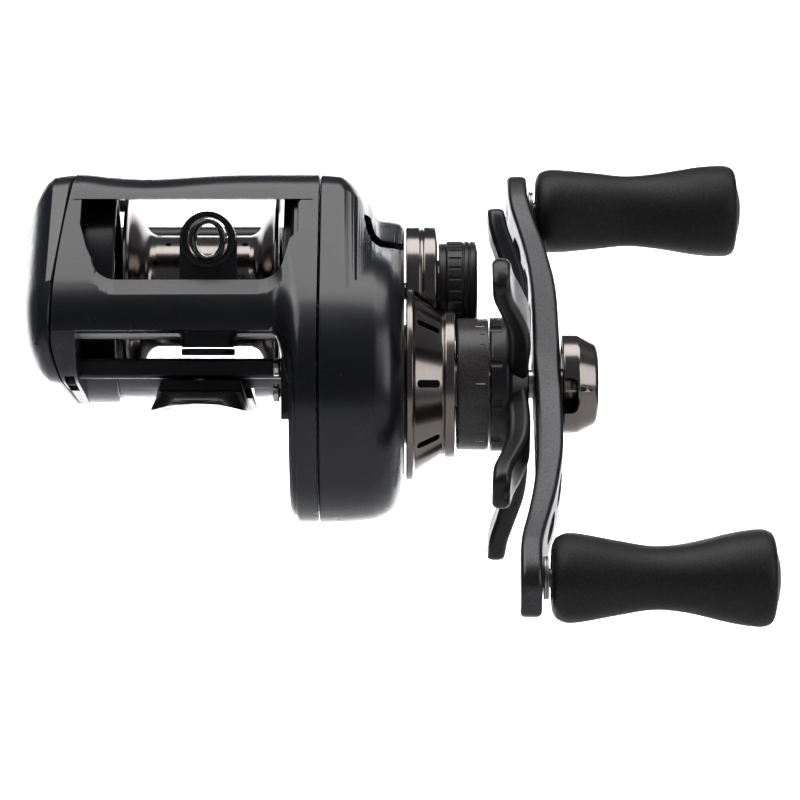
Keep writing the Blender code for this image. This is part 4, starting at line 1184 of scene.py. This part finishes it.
def rounded_arm(name, stations, angle, line, corner):
    """A loft that runs out from `line`. Stations are (distance, x_low, x_high, half width)."""
    u, v = math.cos(angle), math.sin(angle)
    rings = []
    for reach, x_low, x_high, half in stations:
        ring = rounded_section(x_low, x_high, half, corner)
        rings.append([(x, line[0] + reach * u - w * v, line[1] + reach * v + w * u) for x, w in ring])
    return loft(name, rings, 40)


# %% Star wheel
FIN_STATIONS = (
    (6.5, 49.4, 53.0, 4.2), (13.0, 49.7, 53.4, 3.7), (18.0, 49.4, 53.0, 3.45), (22.0, 48.4, 51.8, 3.5),
    (26.0, 47.2, 50.4, 3.65), (28.6, 46.95, 49.9, 3.45), (29.7, 46.9, 49.7, 2.7), (30.2, 47.1, 49.4, 1.6))


SLEEVE_TICKS = 30
LONG_TICK_STEP = 5


def make_star():
    hub = turned("star_hub", DRIVE_AXIS,
                 [(53.3, 2.75), (53.3, 7.6), (50.4, 9.3), (49.9, 11.0), (47.1, 11.0), (47.1, 2.75)], 0.35)
    fins = [rounded_arm(f"star_fin_{i}", curve_through(FIN_STATIONS, 5), angle, DRIVE_AXIS, 1.1)
            for i, angle in enumerate(STAR_ANGLES)]
    join(hub, *fins)
    notches = []
    for i in range(10):
        at = polar(11.6, math.radians(18 + 36 * i), DRIVE_AXIS)
        notches.append(rod(f"rim_notch_{i}", at, 46.5, 48.9, 1.1, 32))
    cut(hub, merged(notches))
    soften(hub, 0.18, 3, 40)
    fit(hub, SATIN, "satin_black", "star", "star_wheel")


def make_star_sleeve():
    profile = [
        (46.8, 4.1), (46.8, 10.7), (46.4, 10.8), (41.9, 10.8), (41.6, 10.6), (41.6, 8.2), (45.6, 8.2),
        (45.6, 4.1)]
    sleeve = turned("star_sleeve_turned", DRIVE_AXIS, profile, 0.15, 144)
    ticks = []
    for i in range(SLEEVE_TICKS):
        angle = 2 * math.pi * i / SLEEVE_TICKS
        length = 1.7 if i % LONG_TICK_STEP == 0 else 0.9
        stations = ((10.72, 46.2 - length, 46.2, 0.09), (10.95, 46.2 - length, 46.2, 0.09))
        ticks.append(rounded_arm(f"tick_room_{i}", stations, angle, DRIVE_AXIS, 0.03))
    cut(sleeve, merged(ticks))
    fit(sleeve, WARM_SATIN, "satin_black", "star", "star_sleeve")
    marks = []
    for i in range(0, SLEEVE_TICKS, LONG_TICK_STEP):
        stations = ((10.6, 44.6, 46.1, 0.14), (10.79, 44.6, 46.1, 0.14))
        marks.append(rounded_arm(f"tick_{i}", stations, 2 * math.pi * i / SLEEVE_TICKS, DRIVE_AXIS, 0.03))
    marks = merged(marks)
    marks.name = "sleeve_index_marks"
    fit(marks, PALE_PAINT, "satin_black", "star")


make_star()
make_star_sleeve()

# %% [markdown]
# ## Handle
#
# The arm is one swept bar of dark alloy with three slots on each side of its middle. A nut holds it to the
# drive shaft, and a smoked metal cap with a window keeps the nut from turning. Each knob is a foam grip over
# a pin, oval in section and thinner at its middle, with a small domed cap at its end.

# %% Arm
ARM_HALF = (
    (0, 54.2, 58.6, 5.6), (13, 54.2, 58.6, 5.3), (20, 54.1, 58.4, 5.1), (25, 53.8, 57.8, 5.0),
    (30, 53.2, 57.0, 5.0), (35, 52.3, 55.9, 5.1), (39.5, 51.4, 54.9, 5.4), (43, 51.0, 54.4, 5.6),
    (47.5, 50.9, 54.3, 5.1), (49.6, 50.9, 54.3, 4.0), (50.7, 50.95, 54.25, 2.6), (51, 51.1, 54.1, 1.6))
ARM_SLOTS = ((13.5, 19.5, 2.6), (22.0, 28.5, 2.3), (31.0, 37.0, 2.0))
KNOB_CENTRES = [polar(KNOB_DISTANCE, HANDLE_ANGLE + turn, DRIVE_AXIS) for turn in (0, math.pi)]


def make_arm():
    outward = curve_through(ARM_HALF, 5)
    stations = [(-reach, *rest) for reach, *rest in outward[:0:-1]] + outward
    arm = rounded_arm("handle_arm_forged", stations, HANDLE_ANGLE, DRIVE_AXIS, 0.9)
    tools = [rod("arm_shaft_hole", DRIVE_AXIS, 48, 62, 2.7, 64)]
    for side, centre in enumerate(KNOB_CENTRES):
        tools.append(rod(f"arm_pin_hole_{side}", centre, 48, 62, 1.8, 48))
        for number, (near, far, half) in enumerate(ARM_SLOTS):
            end = half * 0.8
            near_arc = [polar(half, math.radians(90 + 10 * i), (near + half, 0)) for i in range(19)]
            far_arc = [polar(end, math.radians(-90 + 10 * i), (far - end, 0)) for i in range(19)]
            outline = turned_about(HANDLE_ANGLE + side * math.pi, near_arc + far_arc)
            tools.append(drawn(f"arm_slot_{side}_{number}", outline, 47, 62, along_x(DRIVE_AXIS)))
    cut(arm, merged(tools))
    soften(arm, 0.35, 4, 38)
    fit(arm, ALLOY, "dark_alloy", "crank", "handle_arm")


make_arm()


# %% Nut and cap
def make_nut():
    hexagon = [polar(5.4, math.radians(60 * i + 12)) for i in range(6)]
    nut = drawn("handle_nut_hex", hexagon, 58.9, 61.9, along_x(DRIVE_AXIS))
    cut(nut, rod("nut_bore", DRIVE_AXIS, 57, 64, 2.7, 64))
    soften(nut, 0.3, 3, 40)
    fit(nut, BRIGHT, "steel", "crank", "handle_nut")


def make_nut_cap():
    profile = [(64.7, 0), (64.7, 5.9), (64.3, 6.6), (61.4, 8.1), (58.9, 8.1), (58.9, 6.3), (62.4, 6.3),
               (62.4, 0)]
    cap = turned("nut_cap_turned", DRIVE_AXIS, profile, 0.3, 144)
    angle = math.radians(195)
    window = rounded_arm("cap_window", ((5, 56, 61.3, 3.0), (10, 56, 61.3, 3.0)), angle, DRIVE_AXIS, 1.2)
    dimple = turned("cap_dimple", DRIVE_AXIS, [(66, 0), (66, 2.6), (64.4, 2.2), (64.3, 0)], 0.1, 64)
    cut(cap, window, dimple)
    at = polar(7.6, math.radians(186), DRIVE_AXIS)
    cut(cap, rod("cap_pin_hole", at, 61.8, 64.8, 0.5, 24))
    soften(cap, 0.15, 3, 40)
    fit(cap, GUNMETAL, "gunmetal", "crank", "nut_cap")


make_nut()
make_nut_cap()

# %% Knobs
KNOB_X = (55.8, 90.4)
# (share of the length, half thickness, half width)
KNOB_STATIONS = (
    (0.0, 4.6, 4.9), (0.006, 5.5, 5.8), (0.03, 6.5, 6.8), (0.1, 7.0, 7.2), (0.3, 5.8, 6.6), (0.45, 5.0, 6.1),
    (0.6, 5.4, 6.5), (0.8, 7.0, 7.6), (0.92, 7.6, 7.9), (0.972, 7.3, 7.6), (0.992, 6.6, 6.9), (1.0, 5.6, 5.9))
KNOB_TURN = (0.0, math.radians(90))


def knob_ring(centre, turn, share, half_thick, half_wide):
    x = KNOB_X[0] + (KNOB_X[1] - KNOB_X[0]) * share
    outline = turned_about(turn, oval(half_wide, half_thick, 96))
    return [(x, centre[0] + y, centre[1] + z) for y, z in outline]


def make_knob(letter, centre, turn):
    stations = curve_through(KNOB_STATIONS, 6)
    grip = loft(f"foam_grip_{letter}", [knob_ring(centre, turn, *station) for station in stations], 50)
    cut(grip,
        rod(f"grip_bore_{letter}", centre, 50, 95, 3.6, 64),
        rod(f"cap_seat_{letter}", centre, 88.6, 95, 5.0, 64))
    soften(grip, 0.25, 3, 45)
    fit(grip, FOAM, "foam_grip", f"knob_{letter}", f"knob_grip_{letter}")
    dome = [(91.3, 0), (91.28, 1.2), (91.15, 2.4), (90.9, 3.6), (90.5, 4.5), (90.2, 4.7), (88.9, 4.7),
            (88.9, 3.2), (87.0, 3.2), (87.0, 0)]
    cap = turned(f"knob_end_cap_{letter}", centre, dome, 0.15, 96)
    fit(cap, SATIN, "satin_black", f"knob_{letter}", f"knob_cap_{letter}")
    pin = [(86.4, 0), (86.4, 1.5), (55.4, 1.5), (55.4, 3.4), (55.05, 3.4), (55.0, 3.2), (54.95, 3.4),
           (54.6, 3.4), (54.6, 1.5), (51.2, 1.5), (51.2, 0)]
    shank = turned(f"knob_pin_turned_{letter}", centre, pin, 0.12, 72)
    fit(shank, STEEL, "steel", "crank", f"knob_pin_{letter}")


for letter, centre, turn in zip("ab", KNOB_CENTRES, KNOB_TURN):
    make_knob(letter, centre, turn)

# %% [markdown]
# ## Finishes for the inner pieces
#
# The gears, bearings, springs and shafts inside are already the right shape. They keep their plain solids
# and take the finish of their material: brass, turned steel, nylon or woven fibre.

# %% Inner pieces
INNER_FINISHES = {
    "brass": BRASS, "steel": STEEL, "carbon_fibre": FIBRE, "black_nylon": NYLON, "dark_alloy": ALLOY,
    "satin_black": SATIN, "gloss_black": LACQUER, "gunmetal": GUNMETAL, "foam_grip": FOAM,
    "guide_ceramic": CERAMIC}


def finish_inner_pieces():
    count = 0
    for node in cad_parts:
        obj = bpy.data.objects.get(node)
        if obj is None:
            continue
        for slot in obj.material_slots:
            name = slot.material.name.split(".")[0] if slot.material else "steel"
            slot.material = INNER_FINISHES.get(name, STEEL)
        count += 1
    print("inner pieces finished:", count)


finish_inner_pieces()

# %% [markdown]
# ## Studio
#
# A dark glossy object is lit by what it mirrors. Large soft boxes above, at the upper left and at the right
# give the long highlights, and the pale sweep of paper behind keeps the outline clear. The camera stands
# level with the reel and square to its front, far enough away that the reel is seen nearly without
# perspective.


# %% Floor and backdrop in one sweep
def make_sweep():
    front, back, top, bend, floor = -0.55, 0.8, 0.45, 0.4, -0.16
    line = [(front, floor), (back - bend, floor)]
    line += [(back - bend + bend * math.sin(a), floor + bend - bend * math.cos(a))
             for a in (math.radians(5 * i) for i in range(1, 19))]
    line.append((back, top))
    bm = bmesh.new()
    rows = [[bm.verts.new((x, y, z)) for y, z in line] for x in (-0.5, 0.56)]
    for i in range(len(line) - 1):
        bm.faces.new((rows[0][i], rows[1][i], rows[1][i + 1], rows[0][i + 1]))
    sweep = new_piece("paper_sweep", bm, 60)
    colour = (0.62, 0.62, 0.63)
    paper, shader = new_finish("pale_paper", colour, 0.0, 0.9)
    grain = place_group(paper, GRAIN, Scale=400.0)
    mix_colour(paper, shader, grain.outputs["Low spots"], colour, (0.6, 0.6, 0.612))
    sweep.data.materials.append(paper)


# %% Soft boxes
def soft_box(name, place, target, width, height, watts, spread=180):
    light = bpy.data.lights.new(name, "AREA")
    light.spread = math.radians(spread)
    light.shape = "RECTANGLE"
    light.size, light.size_y, light.energy = width, height, watts
    obj = bpy.data.objects.new(name, light)
    bpy.context.scene.collection.objects.link(obj)
    obj.location = place
    obj.rotation_euler = (Vector(target) - Vector(place)).to_track_quat("-Z", "Y").to_euler()


def make_studio():
    make_sweep()
    middle = (0.03, 0, 0.01)
    soft_box("key_from_upper_left", (-0.5, -0.55, 0.9), middle, 0.7, 0.7, 3.4)
    soft_box("strip_above", (0.03, -0.05, 0.8), middle, 1.2, 0.5, 5.5)
    soft_box("fill_from_right", (0.85, -0.5, 0.3), middle, 0.4, 0.7, 2.0)
    soft_box("backdrop_light", (0.03, 0.25, 1.1), (0.03, 0.75, 0.0), 0.9, 0.3, 12.5, 60)
    world = bpy.data.worlds.new("studio_air")
    world.use_nodes = True
    tree = world.node_tree
    seen, felt = tree.nodes["Background"], tree.nodes.new("ShaderNodeBackground")
    seen.inputs["Color"].default_value = (0.9, 0.9, 0.91, 1)
    felt.inputs["Color"].default_value = (0.85, 0.9, 1.0, 1)
    felt.inputs["Strength"].default_value = 0.11
    ray, choice = tree.nodes.new("ShaderNodeLightPath"), tree.nodes.new("ShaderNodeMixShader")
    link(tree, ray.outputs["Is Camera Ray"], choice.inputs[0])
    link(tree, felt.outputs["Background"], choice.inputs[1])
    link(tree, seen.outputs["Background"], choice.inputs[2])
    link(tree, choice.outputs["Shader"], tree.nodes["World Output"].inputs["Surface"])
    bpy.context.scene.world = world
    bpy.context.scene.view_settings.view_transform = "Standard"


def make_camera():
    camera = bpy.data.cameras.new("front_camera")
    camera.lens = 161.1
    camera.sensor_width = 36
    obj = bpy.data.objects.new("front_camera", camera)
    bpy.context.scene.collection.objects.link(obj)
    obj.location = (0.0324, -0.599, 0.0006)
    obj.rotation_euler = (math.radians(90), 0, 0)
    bpy.context.scene.camera = obj


make_studio()
make_camera()
